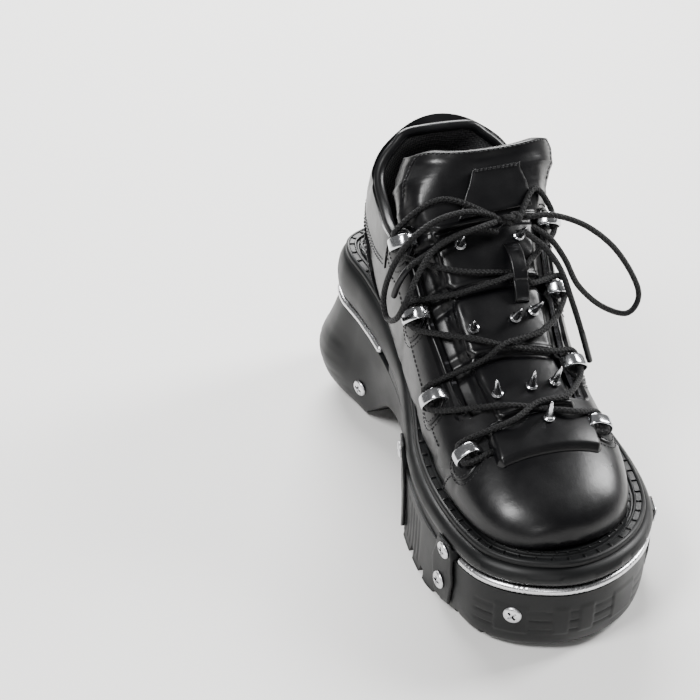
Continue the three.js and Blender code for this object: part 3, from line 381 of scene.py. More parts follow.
def sweep(name, line, radius, sides=16, ends=True):
    """A round tube along a line, closed by round ends. The UV map holds the length in mm and the turn."""
    line = np.asarray(line, float)
    radii = np.broadcast_to(np.asarray(radius, float), len(line)).copy()
    far = np.concatenate([[0], np.cumsum(np.linalg.norm(np.diff(line, axis=0), axis=1))])
    if ends:
        angles = np.radians([15, 40, 65])
        for end, sign in ((0, -1), (-1, 1)):
            way = unit(line[1] - line[0]) if end == 0 else unit(line[-1] - line[-2])
            more = [line[end] + sign * way * radii[end] * math.sin(a) for a in angles]
            more = np.array(more + [line[end] + sign * way * radii[end]])
            size = np.array([radii[end] * math.cos(a) for a in angles] + [TIP_RADIUS])
            if end == 0:
                line, radii = np.concatenate([more[::-1], line]), np.concatenate([size[::-1], radii])
                far = np.concatenate([np.full(4, 0.0), far])
            else:
                line, radii = np.concatenate([line, more]), np.concatenate([radii, size])
                far = np.concatenate([far, np.full(4, far[-1])])
    tangent = unit(np.gradient(line, axis=0))
    side = unit(np.cross(tangent[0], [0.3, 0.2, 1.0]))
    rings = []
    for point, way, size in zip(line, tangent, radii):
        side = unit(side - way * np.dot(side, way))
        up = np.cross(way, side)
        turn = 2 * np.pi * np.arange(sides) / sides
        rings.append(point + size * (np.cos(turn)[:, None] * side + np.sin(turn)[:, None] * up))
    obj = loft(name, rings)
    layer = obj.data.uv_layers.new(name="run")
    index = read(obj.data.loops, "vertex_index", kind=int)
    uv = np.zeros((len(index), 2))
    uv[:, 0] = far[np.minimum(index // sides, len(far) - 1)]
    column = index % sides
    starts = read(obj.data.polygons, "loop_start", kind=int)
    totals = read(obj.data.polygons, "loop_total", kind=int)
    for start in starts[totals == 4]:
        around = column[start : start + 4]
        if around.max() - around.min() > sides / 2:
            column[start : start + 4] = np.where(around == 0, sides, around)
    uv[:, 1] = column / sides
    layer.data.foreach_set("uv", uv.ravel())
    return obj


# Materials
def node(tree, kind, settings=None, values=None, links=None):
    """Adds a node, sets its properties and sockets, and links sockets to outputs of other nodes."""
    made = tree.nodes.new(kind)
    for key, value in (settings or {}).items():
        setattr(made, key, value)
    for key, value in (values or {}).items():
        made.inputs[key].default_value = value
    for key, (source, output) in (links or {}).items():
        tree.links.new(source.outputs[output], made.inputs[key])
    return made


def new_material(name, **values):
    made = bpy.data.materials.new(name)
    made.use_nodes = True
    tree = made.node_tree
    shader = tree.nodes["Principled BSDF"]
    for key, value in values.items():
        shader.inputs[key.replace("_", " ")].default_value = value
    coordinates = node(tree, "ShaderNodeTexCoord")
    return made, tree, shader, coordinates


def bump_from(tree, shader, height, distance, strength=1.0, before=None):
    links = {"Height": height}
    if before:
        links["Normal"] = (before, "Normal")
    bump = node(tree, "ShaderNodeBump", values={"Distance": distance, "Strength": strength}, links=links)
    tree.links.new(bump.outputs["Normal"], shader.inputs["Normal"])
    return bump


def noise(tree, coordinates, size, detail=4, rough=0.5):
    values = {"Scale": 1 / size, "Detail": detail, "Roughness": rough}
    return node(tree, "ShaderNodeTexNoise", values=values, links={"Vector": (coordinates, "Object")})


def vary_roughness(tree, shader, texture, low, high):
    """A roughness between two values that follows a texture."""
    values = {"From Min": 0.25, "From Max": 0.75, "To Min": low, "To Max": high}
    ramp = node(tree, "ShaderNodeMapRange", values=values, links={"Value": texture})
    tree.links.new(ramp.outputs["Result"], shader.inputs["Roughness"])


def shades(tree, shader, factor, low, high):
    """A base colour between two that follows a texture."""
    ramp = node(tree, "ShaderNodeValToRGB", links={"Fac": factor})
    ramp.color_ramp.elements[0].color = linear(low)
    ramp.color_ramp.elements[1].color = linear(high)
    tree.links.new(ramp.outputs["Color"], shader.inputs["Base Color"])


LEATHER_GRAIN = 0.00045


def leather(name, colour, roughness, grain=LEATHER_GRAIN, depth=0.00005):
    # Smooth box-calf leather: a fine pebble grain, soft unevenness and polish that varies from place to place
    made, tree, shader, at = new_material(name, Base_Color=linear(colour), Roughness=roughness)
    shader.inputs["Specular IOR Level"].default_value = 0.35
    shader.inputs["Coat Weight"].default_value = 0.06
    shader.inputs["Coat Roughness"].default_value = 0.2
    wide = noise(tree, at, 0.018, 3)
    vary_roughness(tree, shader, (wide, "Fac"), roughness - 0.07, roughness + 0.1)
    soft = noise(tree, at, 0.006, 3)
    first = bump_from(tree, shader, (soft, "Fac"), 0.00035, 0.35)
    pebble = node(
        tree,
        "ShaderNodeTexVoronoi",
        {"feature": "SMOOTH_F1"},
        {"Scale": 1 / grain, "Smoothness": 0.6},
        {"Vector": (at, "Object")},
    )
    bump_from(tree, shader, (pebble, "Distance"), depth, 0.5, first)
    return made


def moulded_rubber(name, colour, roughness):
    # Satin moulded rubber: a spark-eroded skin with faint dust and flow marks
    made, tree, shader, at = new_material(name, Base_Color=linear(colour), Roughness=roughness)
    shader.inputs["Specular IOR Level"].default_value = 0.3
    wide = noise(tree, at, 0.03, 4)
    vary_roughness(tree, shader, (wide, "Fac"), roughness - 0.1, roughness + 0.12)
    fine = noise(tree, at, 0.0006, 4, 0.6)
    bump_from(tree, shader, (fine, "Fac"), 0.00006, 0.5)
    return made


def bright_metal(name, colour, roughness, stretch):
    # Plated or brushed metal: fine scratches along one way and small marks of use
    made, tree, shader, at = new_material(name, Base_Color=linear(colour), Roughness=roughness, Metallic=1.0)
    mapping = node(tree, "ShaderNodeMapping", values={"Scale": stretch}, links={"Vector": (at, "Object")})
    values = {"Scale": 900, "Detail": 3}
    lines = node(tree, "ShaderNodeTexNoise", values=values, links={"Vector": (mapping, "Vector")})
    vary_roughness(tree, shader, (lines, "Fac"), roughness - 0.05, roughness + 0.12)
    bump_from(tree, shader, (lines, "Fac"), 0.00003, 0.25)
    return made


# The braid: turn of the strands' wave per mm of length, and waves round the cord
BRAID_TURN = 2.6
BRAID_WAVES = 4


def braided_cord():
    # Round polyester braid: two sets of strands that cross, from the length and the turn in the UV map. The
    # base colour is painted darker in the grooves between the strands as shade.
    made, tree, shader, _ = new_material("braided_lace", Base_Color=linear(0x141415), Roughness=0.66)
    shader.inputs["Specular IOR Level"].default_value = 0.3
    uv = node(tree, "ShaderNodeUVMap", {"uv_map": "run"})
    split = node(tree, "ShaderNodeSeparateXYZ", links={"Vector": (uv, "UV")})

    def maths(operation, values, links):
        return node(tree, "ShaderNodeMath", {"operation": operation}, values, links)

    def wave(sign):
        along = maths("MULTIPLY", {1: BRAID_TURN}, {0: (split, "X")})
        around = maths("MULTIPLY", {1: sign * 2 * BRAID_WAVES * math.pi}, {0: (split, "Y")})
        both = maths("ADD", {}, {0: (along, "Value"), 1: (around, "Value")})
        return maths("SINE", {}, {0: (both, "Value")})

    top = maths("MAXIMUM", {}, {0: (wave(1), "Value"), 1: (wave(-1), "Value")})
    bump_from(tree, shader, (top, "Value"), 0.00022, 0.9)
    # Painted shade: near-black base colour low in the braid's grooves, lighter on the strands' crests
    shades(tree, shader, (top, "Value"), 0x030303, 0x101012)
    return made


def mesh_lining():
    # Knitted spacer mesh: rows of small holes, their base colour painted darker than the knit as shade in them
    made, tree, shader, at = new_material("mesh_lining", Base_Color=linear(0x121214), Roughness=0.85)
    shader.inputs["Sheen Weight"].default_value = 0.3
    values = {"Scale": 640, "Randomness": 0.15}
    cells = node(tree, "ShaderNodeTexVoronoi", {}, values, {"Vector": (at, "Object")})
    bump_from(tree, shader, (cells, "Distance"), 0.0006, 0.9)
    # Painted shade: the sunken holes are near black and the knit between them lighter grey
    shades(tree, shader, (cells, "Distance"), 0x050506, 0x35353A)
    return made


# Sole
def plan_line(count):
    """Even points round the sole's outline, with its direction, heel first and inner side first."""
    points = np.stack([SOLE_PLAN["side"] * SOLE_WIDTH / 2, length_at(SOLE_PLAN["along"])], 1)
    line = []
    total = len(points)
    for i in range(total):
        p = [points[(i + step) % total] for step in (-1, 0, 1, 2)]
        d = [max(1e-4, np.linalg.norm(p[k + 1] - p[k]) ** 0.5) for k in range(3)]
        t1 = ((p[1] - p[0]) / d[0] - (p[2] - p[0]) / (d[0] + d[1]) + (p[2] - p[1]) / d[1]) * d[1]
        t2 = ((p[2] - p[1]) / d[1] - (p[3] - p[1]) / (d[1] + d[2]) + (p[3] - p[2]) / d[2]) * d[1]
        for t in np.arange(0, 1, 1 / 32):
            curve = p[1] + t * t1 + t * t * (-3 * p[1] + 3 * p[2] - 2 * t1 - t2)
            line.append(curve + t**3 * (2 * p[1] - 2 * p[2] + t1 + t2))
    line = np.array(line)
    loop = np.concatenate([line, line[:1]])
    far = np.concatenate([[0], np.cumsum(np.linalg.norm(np.diff(loop, axis=0), axis=1))])
    even = np.arange(count) * far[-1] / count
    out = np.stack([np.interp(even, far, loop[:, axis]) for axis in (0, 1)], 1)
    way = unit(np.roll(out, -1, axis=0) - np.roll(out, 1, axis=0))
    return out, way, far[-1]


PLAN_POINTS = 900
plan, plan_way, plan_length = plan_line(PLAN_POINTS)
toe_point = int(np.argmin(plan[:, 1]))
# Way along the outline from the toe's tip in mm, outer side above zero
from_toe = (np.arange(PLAN_POINTS) - toe_point) * plan_length / PLAN_POINTS
from_toe = (from_toe + plan_length / 2) % plan_length - plan_length / 2


def rise(y, column):
    return look_up(FOOTBED_RISE, "at", share_at(y), column)


def midsole_depth(y):
    return MIDSOLE_DEPTH + HEEL_CUSHION * rise(y, "cushion")


def midsole_floor(y):
    return PLATFORM_HEIGHT - MIDSOLE_DEPTH + HEEL_LIFT * rise(y, "rise")


def footbed(y):
    return midsole_floor(y) + midsole_depth(y)


def ground(y):
    return TOE_SPRING * fade(0.86, 1.02, share_at(y)) ** 1.5


def sole_ring(out, height):
    """A ring round the sole, out from its outline, at a height."""
    offset = out(plan[:, 1]) if callable(out) else np.full(PLAN_POINTS, float(out))
    x = plan[:, 0] + plan_way[:, 1] * offset
    y = plan[:, 1] - plan_way[:, 0] * offset
    return np.stack([x, y, height(y)], 1)


def block(low, high, edge, value):
    """One between two values, with soft edges."""
    return fade(low - edge, low + edge, value) * (1 - fade(high - edge, high + edge, value))


# The groove for the bars fades out and in again at these shares of the length
GROOVE_END, GROOVE_START = (0.31, 0.33), (0.825, 0.84)
# The bumper's side: height as a share of the midsole, and distance out from the outline
MIDSOLE_FOOT = 0.42
MIDSOLE_SIDE = table(
    "up out",
    [(MIDSOLE_FOOT, -0.5), (0.5, 0.35), (0.66, MIDSOLE_BULGE), (0.84, -0.2), (0.96, -2.2), (1.0, -4.2)],
)
# Low raised bricks on the bumper, by their way from the toe's tip
BRICK_STARTS, BRICK_LENGTH, BRICK_RISE = (9, 34, 300), 17, 0.35


def make_midsole(material):
    def groove(y):
        share = share_at(y)
        barred = fade(*GROOVE_START, share) + 1 - fade(*GROOVE_END, share)
        return -1 - (BAR_DIAMETER - 0.7) * barred

    rings = []
    for up in (GAP, BAR_GROOVE - 0.4, BAR_GROOVE):
        rings.append(sole_ring(groove, lambda y, up=up: midsole_floor(y) + up))
    bricks = sum(block(start, start + BRICK_LENGTH, 0.6, np.abs(from_toe)) for start in BRICK_STARTS)
    first = BAR_GROOVE + 0.9
    for step in np.linspace(0, 5, 22):
        share = float(smooth_value(MIDSOLE_SIDE, "up", step))
        out = float(smooth_value(MIDSOLE_SIDE, "out", step))
        brick = BRICK_RISE * block(0.55, 0.74, 0.025, share) * bricks

        def height(y, share=share):
            above = max(0.0, share - MIDSOLE_FOOT) / (1 - MIDSOLE_FOOT)
            return midsole_floor(y) + first + (midsole_depth(y) - first) * above

        rings.append(sole_ring(lambda y, out=out, brick=brick: out + brick, height))
    rings.append(sole_ring(-12, footbed))
    return finish_piece(loft("midsole_body", rings), material, ["midsole"], 32)


def ground_inset(y):
    """How far the foot of the outsole's wall lies within the outline; beside the forefoot it flares out."""
    share = share_at(y)
    side = fade(0.45, 0.56, share) * (1 - fade(0.74, 0.87, share))
    return GROUND_INSET - (GROUND_INSET + SIDE_FLARE) * side


def wall_ring(number):
    def out(y):
        flare = HEEL_FLARE * (1 - fade(0.08, 0.3, share_at(y)))
        flat = smooth_value(OUTSOLE_WALL, "inset", number) * ground_inset(y)
        return flat + smooth_value(OUTSOLE_WALL, "flare", number) * flare + wall_relief(number)

    level = float(smooth_value(OUTSOLE_WALL, "level", number))
    return sole_ring(out, lambda y: ground(y) + (midsole_floor(y) - ground(y)) * level)


# The outsole's wall: levels of its ribs, its raised blocks by their way from the toe's tip, and the upright
# ribs' pitch
RIB_LEVELS = (0.34, 0.52, 0.7)
FRONT_BLOCKS = ((3, 11), (24, 42))
RIB_PITCH = 5
RELIEF = {"ribs": 0.5, "blocks": 0.45, "upright": 0.45, "heel": 0.35}


def wall_relief(number):
    """Ribs round the front of the outsole between raised blocks, and upright ribs beside the arch."""
    level = float(smooth_value(OUTSOLE_WALL, "level", number))
    away = np.abs(from_toe)
    lines = sum(math.exp(-(((level - at) / 0.018) ** 2)) for at in RIB_LEVELS)
    blocks = block(0.28, 0.78, 0.02, level) * sum(block(*ends, 0.5, away) for ends in FRONT_BLOCKS)
    share = share_at(plan[:, 1])
    waves = 0.5 + 0.5 * np.cos(2 * np.pi * from_toe / RIB_PITCH)
    upright = block(0.6, 0.7, 0.01, share) * waves * block(0.12, 0.86, 0.03, level)
    heel = block(0.0, 0.16, 0.02, share) * lines
    front = RELIEF["blocks"] * blocks - RELIEF["ribs"] * lines * (1 - np.clip(blocks, 0, 1))
    return (1 - fade(52, 56, away)) * front - RELIEF["upright"] * upright - RELIEF["heel"] * heel


def prism(name, profile, half=90):
    """A body across the boot from a profile of length and height."""
    rings = [[(x, y, z) for y, z in profile] for x in (-half, half)]
    return loft(name, rings)


def make_outsole(material):
    steps = np.concatenate([np.linspace(0, 1, 5)[:-1], np.linspace(1, 4.6, 34), [5.0]])
    rings = [sole_ring(-9, ground)] + [wall_ring(step) for step in steps]
    rings.append(sole_ring(lambda y: -0.15 * ground_inset(y) - 0.5, lambda y: midsole_floor(y) + 0.25))
    body = loft("outsole_body", rings)
    arch = resampled([(0, length_at(along), height * ARCH_HEIGHT) for along, height in ARCH_LINE], 2.5)
    combine(body, prism("arch_cutter", arch[:, 1:]))
    for share in LUG_GROOVES:
        y, half = float(length_at(share)), LUG_GROOVE / 2
        foot, top = half + 1, half - 0.6
        profile = [(y - foot, -2), (y + foot, -2), (y + top, LUG_DEPTH), (y - top, LUG_DEPTH)]
        combine(body, prism("groove_cutter", profile))
    y0, y1 = float(length_at(0.95)), float(length_at(0.62))
    combine(body, prism("tread_channel", [(y0, -2), (y1, -2), (y1, 2.2), (y0, 2.2)], 3))
    return finish_piece(body, material, ["outsole_forefoot", "outsole_heel"], 32)


WELT_PROFILE = [
    (-3.6, 0.3), (-3.55, 1.6), (-3.8, 2.5), (-4.5, 3.1), (-5.4, 3.3), (-5.9, 2.7), (-8.4, 2.7), (-8.8, 3.2),
    (-9.4, 3.25), (-9.9, 2.6), (-10.2, 1.9), (-10.9, 1.9), (-11.2, 2.6), (-11.6, 3.1), (-13.4, 3.2),
    (-14.0, 2.5), (-20, 2.2), (-20.5, 0.4),
]


# The welt's brick joints: distance out, height, pitch and half sizes of a mark. The outer row has long stitches
# between them.
WELT_ROWS = ((-7.15, 2.95, 9.6, (1.45, 0.45, 0.4)), (-12.5, 3.25, 8.2, (1.15, 0.4, 0.45)))
WELT_STITCH = (0.5, 2.9, 0.42)


def make_welt(material):
    rings = [sole_ring(out, lambda y, up=up: footbed(y) + up) for out, up in WELT_PROFILE]
    body = loft("welt_ledge", rings)
    marks = []
    for out, up, pitch, size in WELT_ROWS:
        for centre in mark_places(pitch):
            marks.append(mark(centre, out, up, size))
        if size == WELT_ROWS[1][3]:
            marks += [mark(c, out, up + 0.05, WELT_STITCH) for c in mark_places(pitch, 0.5)]
    ticks = joined("welt_ticks", marks)
    whole = joined("welt_ledge", [body, ticks])
    return finish_piece(whole, material, ["welt"], 40)


def mark_places(pitch, shift=0.0):
    count = int(plan_length / pitch)
    return [(k + shift) * PLAN_POINTS / count for k in range(count)]


def mark(centre, out, up, size):
    """A small rounded bar on the ledge: half sizes across the ledge, along it and upwards."""
    k = int(centre) % PLAN_POINTS
    way = np.array([plan_way[k, 0], plan_way[k, 1], 0.0])
    side = np.array([plan_way[k, 1], -plan_way[k, 0], 0.0])
    x, y = plan[k] + side[:2] * out
    slope = (footbed(y + 2) - footbed(y - 2)) / 4
    way[2] = slope * way[1]
    side[2] = slope * side[1]
    up_way = np.cross(side, way)
    up_way *= np.sign(up_way[2])
    base = np.array([x, y, footbed(y) + up])
    points = []
    for level, shrink in ((-1, 1), (0.4, 1), (1, 0.72)):
        for a, b in ((-1, -1), (1, -1), (1, 1), (-1, 1)):
            flat = side * a * size[0] * shrink + way * b * size[1] * shrink
            points.append(base + flat + up_way * level * size[2])
    faces = [(0, 1, 5, 4), (1, 2, 6, 5), (2, 3, 7, 6), (3, 0, 4, 7)]
    faces += [(4, 5, 9, 8), (5, 6, 10, 9), (6, 7, 11, 10), (7, 4, 8, 11), (8, 9, 10, 11)]
    return mesh_object("mark", points, faces)


def bar_line(start, end):
    """The bar's middle line between two lengths of the way from the toe's tip."""
    picked = np.arange(start, end, 1.5)
    index = (toe_point + picked * PLAN_POINTS / plan_length) % PLAN_POINTS
    low = np.floor(index).astype(int) % PLAN_POINTS
    out = 0.9 - BAR_DIAMETER / 2
    x = plan[low, 0] + plan_way[low, 1] * out
    y = plan[low, 1] - plan_way[low, 0] * out
    return np.stack([x, y, midsole_floor(y) + BAR_GROOVE / 2 + 0.1], 1)


# The bars' turned rings: places as shares of the bar, shifts within a band, depth and half width
TOE_BANDS, HEEL_BANDS = (0.06, 0.28, 0.5, 0.77, 0.95), (0.05, 0.27, 0.5, 0.73, 0.95)
BAND_SHIFTS, BAND_DEPTH, BAND_HALF = (-2.5, 0, 2.5), 0.22, 0.45
# Shares of the length where the toe bar starts and the heel bar ends
TOE_BAR_START, HEEL_BAR_END = 0.862, 0.295


def make_bar(name, start, end, bands, material):
    line = resampled(bar_line(start, end)[::6], 0.5)
    far = np.arange(len(line)) * 0.5
    radius = np.full(len(line), BAR_DIAMETER / 2 - 0.3)
    for band in bands:
        at = band * far[-1]
        for shift in BAND_SHIFTS:
            radius -= BAND_DEPTH * np.exp(-(((far - at - shift) / BAND_HALF) ** 2))
    return finish_piece(sweep(name + "_rod", line, radius, 24), material, [name], 40)


def make_bars(material):
    share = share_at(plan[:, 1])
    front = from_toe[share > TOE_BAR_START]
    behind = from_toe[share < HEEL_BAR_END] % plan_length
    make_bar("toe_bar", front.min(), front.max(), TOE_BANDS, material)
    make_bar("heel_bar", behind.min(), behind.max(), HEEL_BANDS, material)


def smooth_copy(node_name, name, voxel, passes=2):
    """A copy of a node's solid, evenly meshed and slightly rounded."""
    source = bpy.data.objects[node_name]
    obj = bpy.data.objects.new(name, source.data.copy())
    bpy.context.collection.objects.link(obj)
    obj.data.materials.clear()
    apply_modifier(obj, "REMESH", mode="VOXEL", voxel_size=voxel * MM, use_smooth_shade=True)
    if passes:
        apply_modifier(obj, "SMOOTH", factor=0.5, iterations=passes)
    return obj


def make_pads(material):
    for name in ("forefoot_pad", "arch_pad"):
        for side in ("inner", "outer"):
            source = f"{name}_{side}"
            finish_piece(smooth_copy(source, source + "_block", 0.45, 3), material, [source])


# Last
LAST_SECTIONS = 20


def last_point(place, turn):
    """A point on the last: section of the table from toe to collar, and share of a turn round from below."""
    place, turn = np.broadcast_arrays(np.asarray(place, float), np.asarray(turn, float))
    place = np.clip(place, 0, LAST_SECTIONS)
    row = {column: smooth_value(LAST, column, place) for column in LAST}
    foot, crown = length_at(row["foot"]), length_at(row["crown"])
    low = footbed(foot) + GAP + row["lift"] * UPPER_HEIGHT
    high = PLATFORM_HEIGHT + row["height"] * UPPER_HEIGHT
    angle = 2 * np.pi * turn - np.pi / 2
    across, up = np.cos(angle), np.sin(angle)
    power = 2 / np.where(up < 0, row["corner"], row["crest"])
    half = np.where(across > 0, row["outer"], row["inner"]) * UPPER_WIDTH / 2
    x = row["middle"] * UPPER_WIDTH / 2 + np.sign(across) * half * np.abs(across) ** power
    reach = np.where(up < 0, row["waist"], 1 - row["waist"])
    v = row["waist"] + np.sign(up) * reach * np.abs(up) ** power
    return np.stack([x, foot + (crown - foot) * v, low + (high - low) * v], -1)


def last_normal(place, turn):
    step = 0.05
    ahead = last_point(np.asarray(place) + step, turn) - last_point(np.asarray(place) - step, turn)
    around = last_point(place, np.asarray(turn) + 0.004) - last_point(place, np.asarray(turn) - 0.004)
    return unit(np.cross(ahead, around))


def off_last(place, turn, out):
    out = np.asarray(out, float)
    return last_point(place, turn) + last_normal(place, turn) * out[..., None]


PLACES, TURNS = 270, 250


def last_grid(out, places=PLACES, turns=TURNS):
    sections = np.linspace(0, LAST_SECTIONS, places)
    rows, columns = np.meshgrid(sections, np.arange(turns) / turns, indexing="ij")
    return off_last(rows, columns, np.full(rows.shape, float(out)))


LAST_GRID = last_grid(0)


def last_tree():
    return BVHTree.FromPolygons(LAST_GRID.reshape(-1, 3).tolist(), grid_faces(PLACES, TURNS, closed=True))


def last_places(tree, points):
    """Section, turn and distance from the last of points in mm of the source."""
    found = [tree.find_nearest(Vector(point)) for point in points]
    hits = np.array([hit[0] for hit in found])
    i, j = np.divmod(np.array([hit[2] for hit in found]), TURNS)
    corner = LAST_GRID[i, j]
    ahead = LAST_GRID[i + 1, j] - corner
    around = LAST_GRID[i, (j + 1) % TURNS] - corner
    rest = hits - corner
    aa, ab, bb = (ahead * ahead).sum(1), (ahead * around).sum(1), (around * around).sum(1)
    ra, rb = (rest * ahead).sum(1), (rest * around).sum(1)
    base = np.maximum(aa * bb - ab * ab, 1e-9)
    place = np.clip(i + (ra * bb - rb * ab) / base, 0, PLACES - 1) * LAST_SECTIONS / (PLACES - 1)
    turn = (j + (rb * aa - ra * ab) / base) / TURNS
    facing = last_normal(place, turn)
    return place, turn, ((points - hits) * facing).sum(1), facing


def vertices(obj):
    return read(obj.data.vertices, "co", 3).reshape(-1, 3)


def set_vertices(obj, points):
    obj.data.vertices.foreach_set("co", points.ravel())
    obj.data.update()


def shell(name, outer, inner):
    """A skin between two distances from the last, open nowhere."""
    return combine(loft(name, last_grid(outer)), loft("inside", last_grid(inner, 140, 120)))


FAR_UP = 400


def side_profile(shares):
    """Lengths and heights in mm from shares of the sole's length and the upper's height."""
    return [(length_at(along), PLATFORM_HEIGHT + height * UPPER_HEIGHT) for along, height in shares]


def over_top_line(lower):
    line = resampled([(0, y, z - lower) for y, z in side_profile(TOP_LINE)], 1.5)
    far = [(line[-1][1], FAR_UP), (SOLE_LENGTH, FAR_UP), (SOLE_LENGTH, line[0][2])]
    return prism("over_top_line", [(y, z) for _, y, z in line] + far)


# Folds of the leather: depth and half width in mm, then points as section of the last and share of a turn
FOLDS = [
    (-1.7, 2.6, [(15.0, 0.78), (16.5, 0.74), (18.2, 0.71), (19.4, 0.69)]),
    (1.5, 3.6, [(14.7, 0.74), (16.2, 0.70), (17.6, 0.67), (19.0, 0.655)]),
    (-1.5, 2.4, [(14.6, 0.70), (15.8, 0.665), (17.2, 0.64), (18.2, 0.625)]),
    (-0.8, 3.0, [(15.0, 0.22), (16.5, 0.26), (18.2, 0.29), (19.4, 0.31)]),
    (0.9, 4.0, [(14.7, 0.26), (16.2, 0.30), (17.6, 0.33), (19.0, 0.345)]),
    (-0.7, 2.4, [(6.1, 0.71), (6.4, 0.76), (6.9, 0.81), (7.2, 0.86)]),
    (0.7, 3.4, [(6.9, 0.70), (7.2, 0.75), (7.7, 0.80)]),
    (-0.7, 2.4, [(7.7, 0.70), (8.0, 0.75), (8.3, 0.81), (8.4, 0.86)]),
    (-0.6, 2.2, [(9.2, 0.72), (9.4, 0.78), (9.3, 0.84)]),
    (-0.7, 2.4, [(6.1, 0.29), (6.4, 0.24), (6.9, 0.19), (7.2, 0.14)]),
    (0.6, 3.4, [(6.9, 0.30), (7.2, 0.25), (7.7, 0.20)]),
    (-0.7, 2.4, [(7.7, 0.30), (8.0, 0.25), (8.3, 0.19)]),
    (-0.6, 2.2, [(5.0, 0.67), (5.15, 0.71), (5.5, 0.75), (5.6, 0.8)]),
    (-0.5, 1.8, [(4.75, 0.68), (4.7, 0.72), (4.8, 0.77)]),
    (-0.55, 2.4, [(11.5, 0.76), (12.4, 0.80), (13.0, 0.86)]),
    (-0.5, 2.4, [(11.5, 0.24), (12.4, 0.20), (13.0, 0.14)]),
]


def fold_lines():
    lines = []
    for depth, width, points in FOLDS:
        picked = np.array(points)
        rows = {0: picked[:, 0], 1: picked[:, 1]}
        steps = np.linspace(0, len(picked) - 1, 14 * len(picked))
        place, turn = smooth_value(rows, 0, steps), smooth_value(rows, 1, steps)
        ends = np.sin(np.pi * np.linspace(0.04, 0.96, len(steps))) ** 0.6
        lines.append((depth, width, last_point(place, turn), ends))
    return lines


def folded(obj, tree, lines):
    """Soft troughs and ridges, the same for the upper and what lies on it.

    Gives each point's distance from the last before they were made.
    """
    local = vertices(obj) / MM + ORIGIN
    _, _, distance, facing = last_places(tree, local)
    move = np.zeros(len(local))
    for depth, width, line, ends in lines:
        low, high = line.min(0) - 3 * width - 3, line.max(0) + 3 * width + 3
        near = np.where(((local > low) & (local < high)).all(1))[0]
        for part in np.array_split(near, len(near) // 4000 + 1):
            if not len(part):
                continue
            far = np.linalg.norm(local[part][:, None] - line[None], axis=2)
            size = ends[far.argmin(1)] * np.exp(-((np.maximum(far.min(1) - 0.5, 0) / width) ** 2))
            move[part] += depth * size
    set_vertices(obj, (local + facing * move[:, None] - ORIGIN) * MM)
    return distance


def lined(obj, inside, lining):
    """The lining's finish on faces whose points are all inside."""
    obj.data.materials.append(lining)
    corners = read(obj.data.loops, "vertex_index", kind=int)
    starts = read(obj.data.polygons, "loop_start", kind=int)
    obj.data.polygons.foreach_set("material_index", inside[corners[starts]].astype(int))


# The overlays end this far below the upper's edge, and this far above the footbed's edge
EDGE_STEP, WELT_TOP = 1.0, 4.2
# The opening under the upper lies within the sole's outline by this
UNDER_INSET = 29


def make_leather(tree, lines, finish, lining):
    upper = shell("upper_shell", 0, -WALL)
    combine(upper, over_top_line(0))
    under = [sole_ring(-UNDER_INSET, lambda y, up=up: footbed(y) + up) for up in (-20, 6)]
    combine(upper, loft("under_opening", under))
    distance = folded(upper, tree, lines)
    upper.data.materials.clear()
    upper.data.materials.append(finish)
    lined(upper, distance < GAP - WALL, lining)
    finish_piece(upper, finish, ["upper"], 35)
    for source, profile in OVERLAYS.items():
        piece = shell(source + "_leather", GAP + OVERLAY, GAP)
        combine(piece, prism("outline", side_profile(profile)), "INTERSECT")
        combine(piece, over_top_line(EDGE_STEP))
        above = [sole_ring(13, lambda y, up=up: footbed(y) + up) for up in (WELT_TOP, FAR_UP)]
        combine(piece, loft("above_welt", above), "INTERSECT")
        folded(piece, tree, lines)
        finish_piece(piece, finish, [source], 35)


# Tongue, in the last's sections along it and from -1 on the inner side to 1 across
TONGUE_FOOT, TONGUE_TOP = 3.85, 17.4
TONGUE_LEAN = 5


def tongue_turn(place, across):
    half = look_up(TONGUE_ROWS, "place", place, "half") * TONGUE_WIDTH / 2
    widths = smooth_value(LAST, "outer", place), smooth_value(LAST, "inner", place)
    last = np.where(across > 0, *widths) * UPPER_WIDTH / 2
    share = np.minimum(0.995, np.abs(across) * half / last)
    angle = np.arcsin(share ** (smooth_value(LAST, "crest", place) / 2))
    return 0.5 - np.sign(across) * angle / (2 * np.pi)


def pad_shape(place):
    """Height of the padded rolls as a share of their rise."""
    shape = np.full(np.shape(place), 0.75)
    shape = np.where(place < PAD_SEAMS[0], 0.6, shape)
    for low, high in zip(PAD_SEAMS, PAD_SEAMS[1:]):
        within = np.clip((place - low) / (high - low), 0.02, 0.98)
        inside = (place >= low) & (place < high)
        shape = np.where(inside, 0.25 + 0.75 * np.sin(np.pi * within) ** 0.45, shape)
    return shape


def tongue_height(place, across):
    """Distance of the tongue's face from the last: over the throat, under the eyestay, or standing free."""
    pad = look_up(TONGUE_ROWS, "place", place, "pad")
    hidden_level = -WALL - 2 * GAP - 0.6
    flap = OVERLAY * 2 * (1 - fade(5.4, 6.4, place))
    shape = pad_shape(place)
    shape = np.where(place < PAD_SEAMS[1], 0.55 + 0.45 * shape, shape)
    standing = (PAD_RISE + flap) * pad * shape + 0.8 * (1 - pad)
    reach = 0.9 - 0.2 * np.minimum(pad, 1) + 0.22 * (1 - fade(5.15, 5.5, place))
    t = np.clip((np.abs(across) - (reach - 0.14)) / 0.26, 0, 1)
    hidden = standing + (hidden_level - standing) * (t * t * (3 - 2 * t))
    free = np.where(across > 0, FLARE_OUTER, FLARE_INNER) * across * across
    return hidden + (free - hidden) * fade(12.2, 14.5, place)


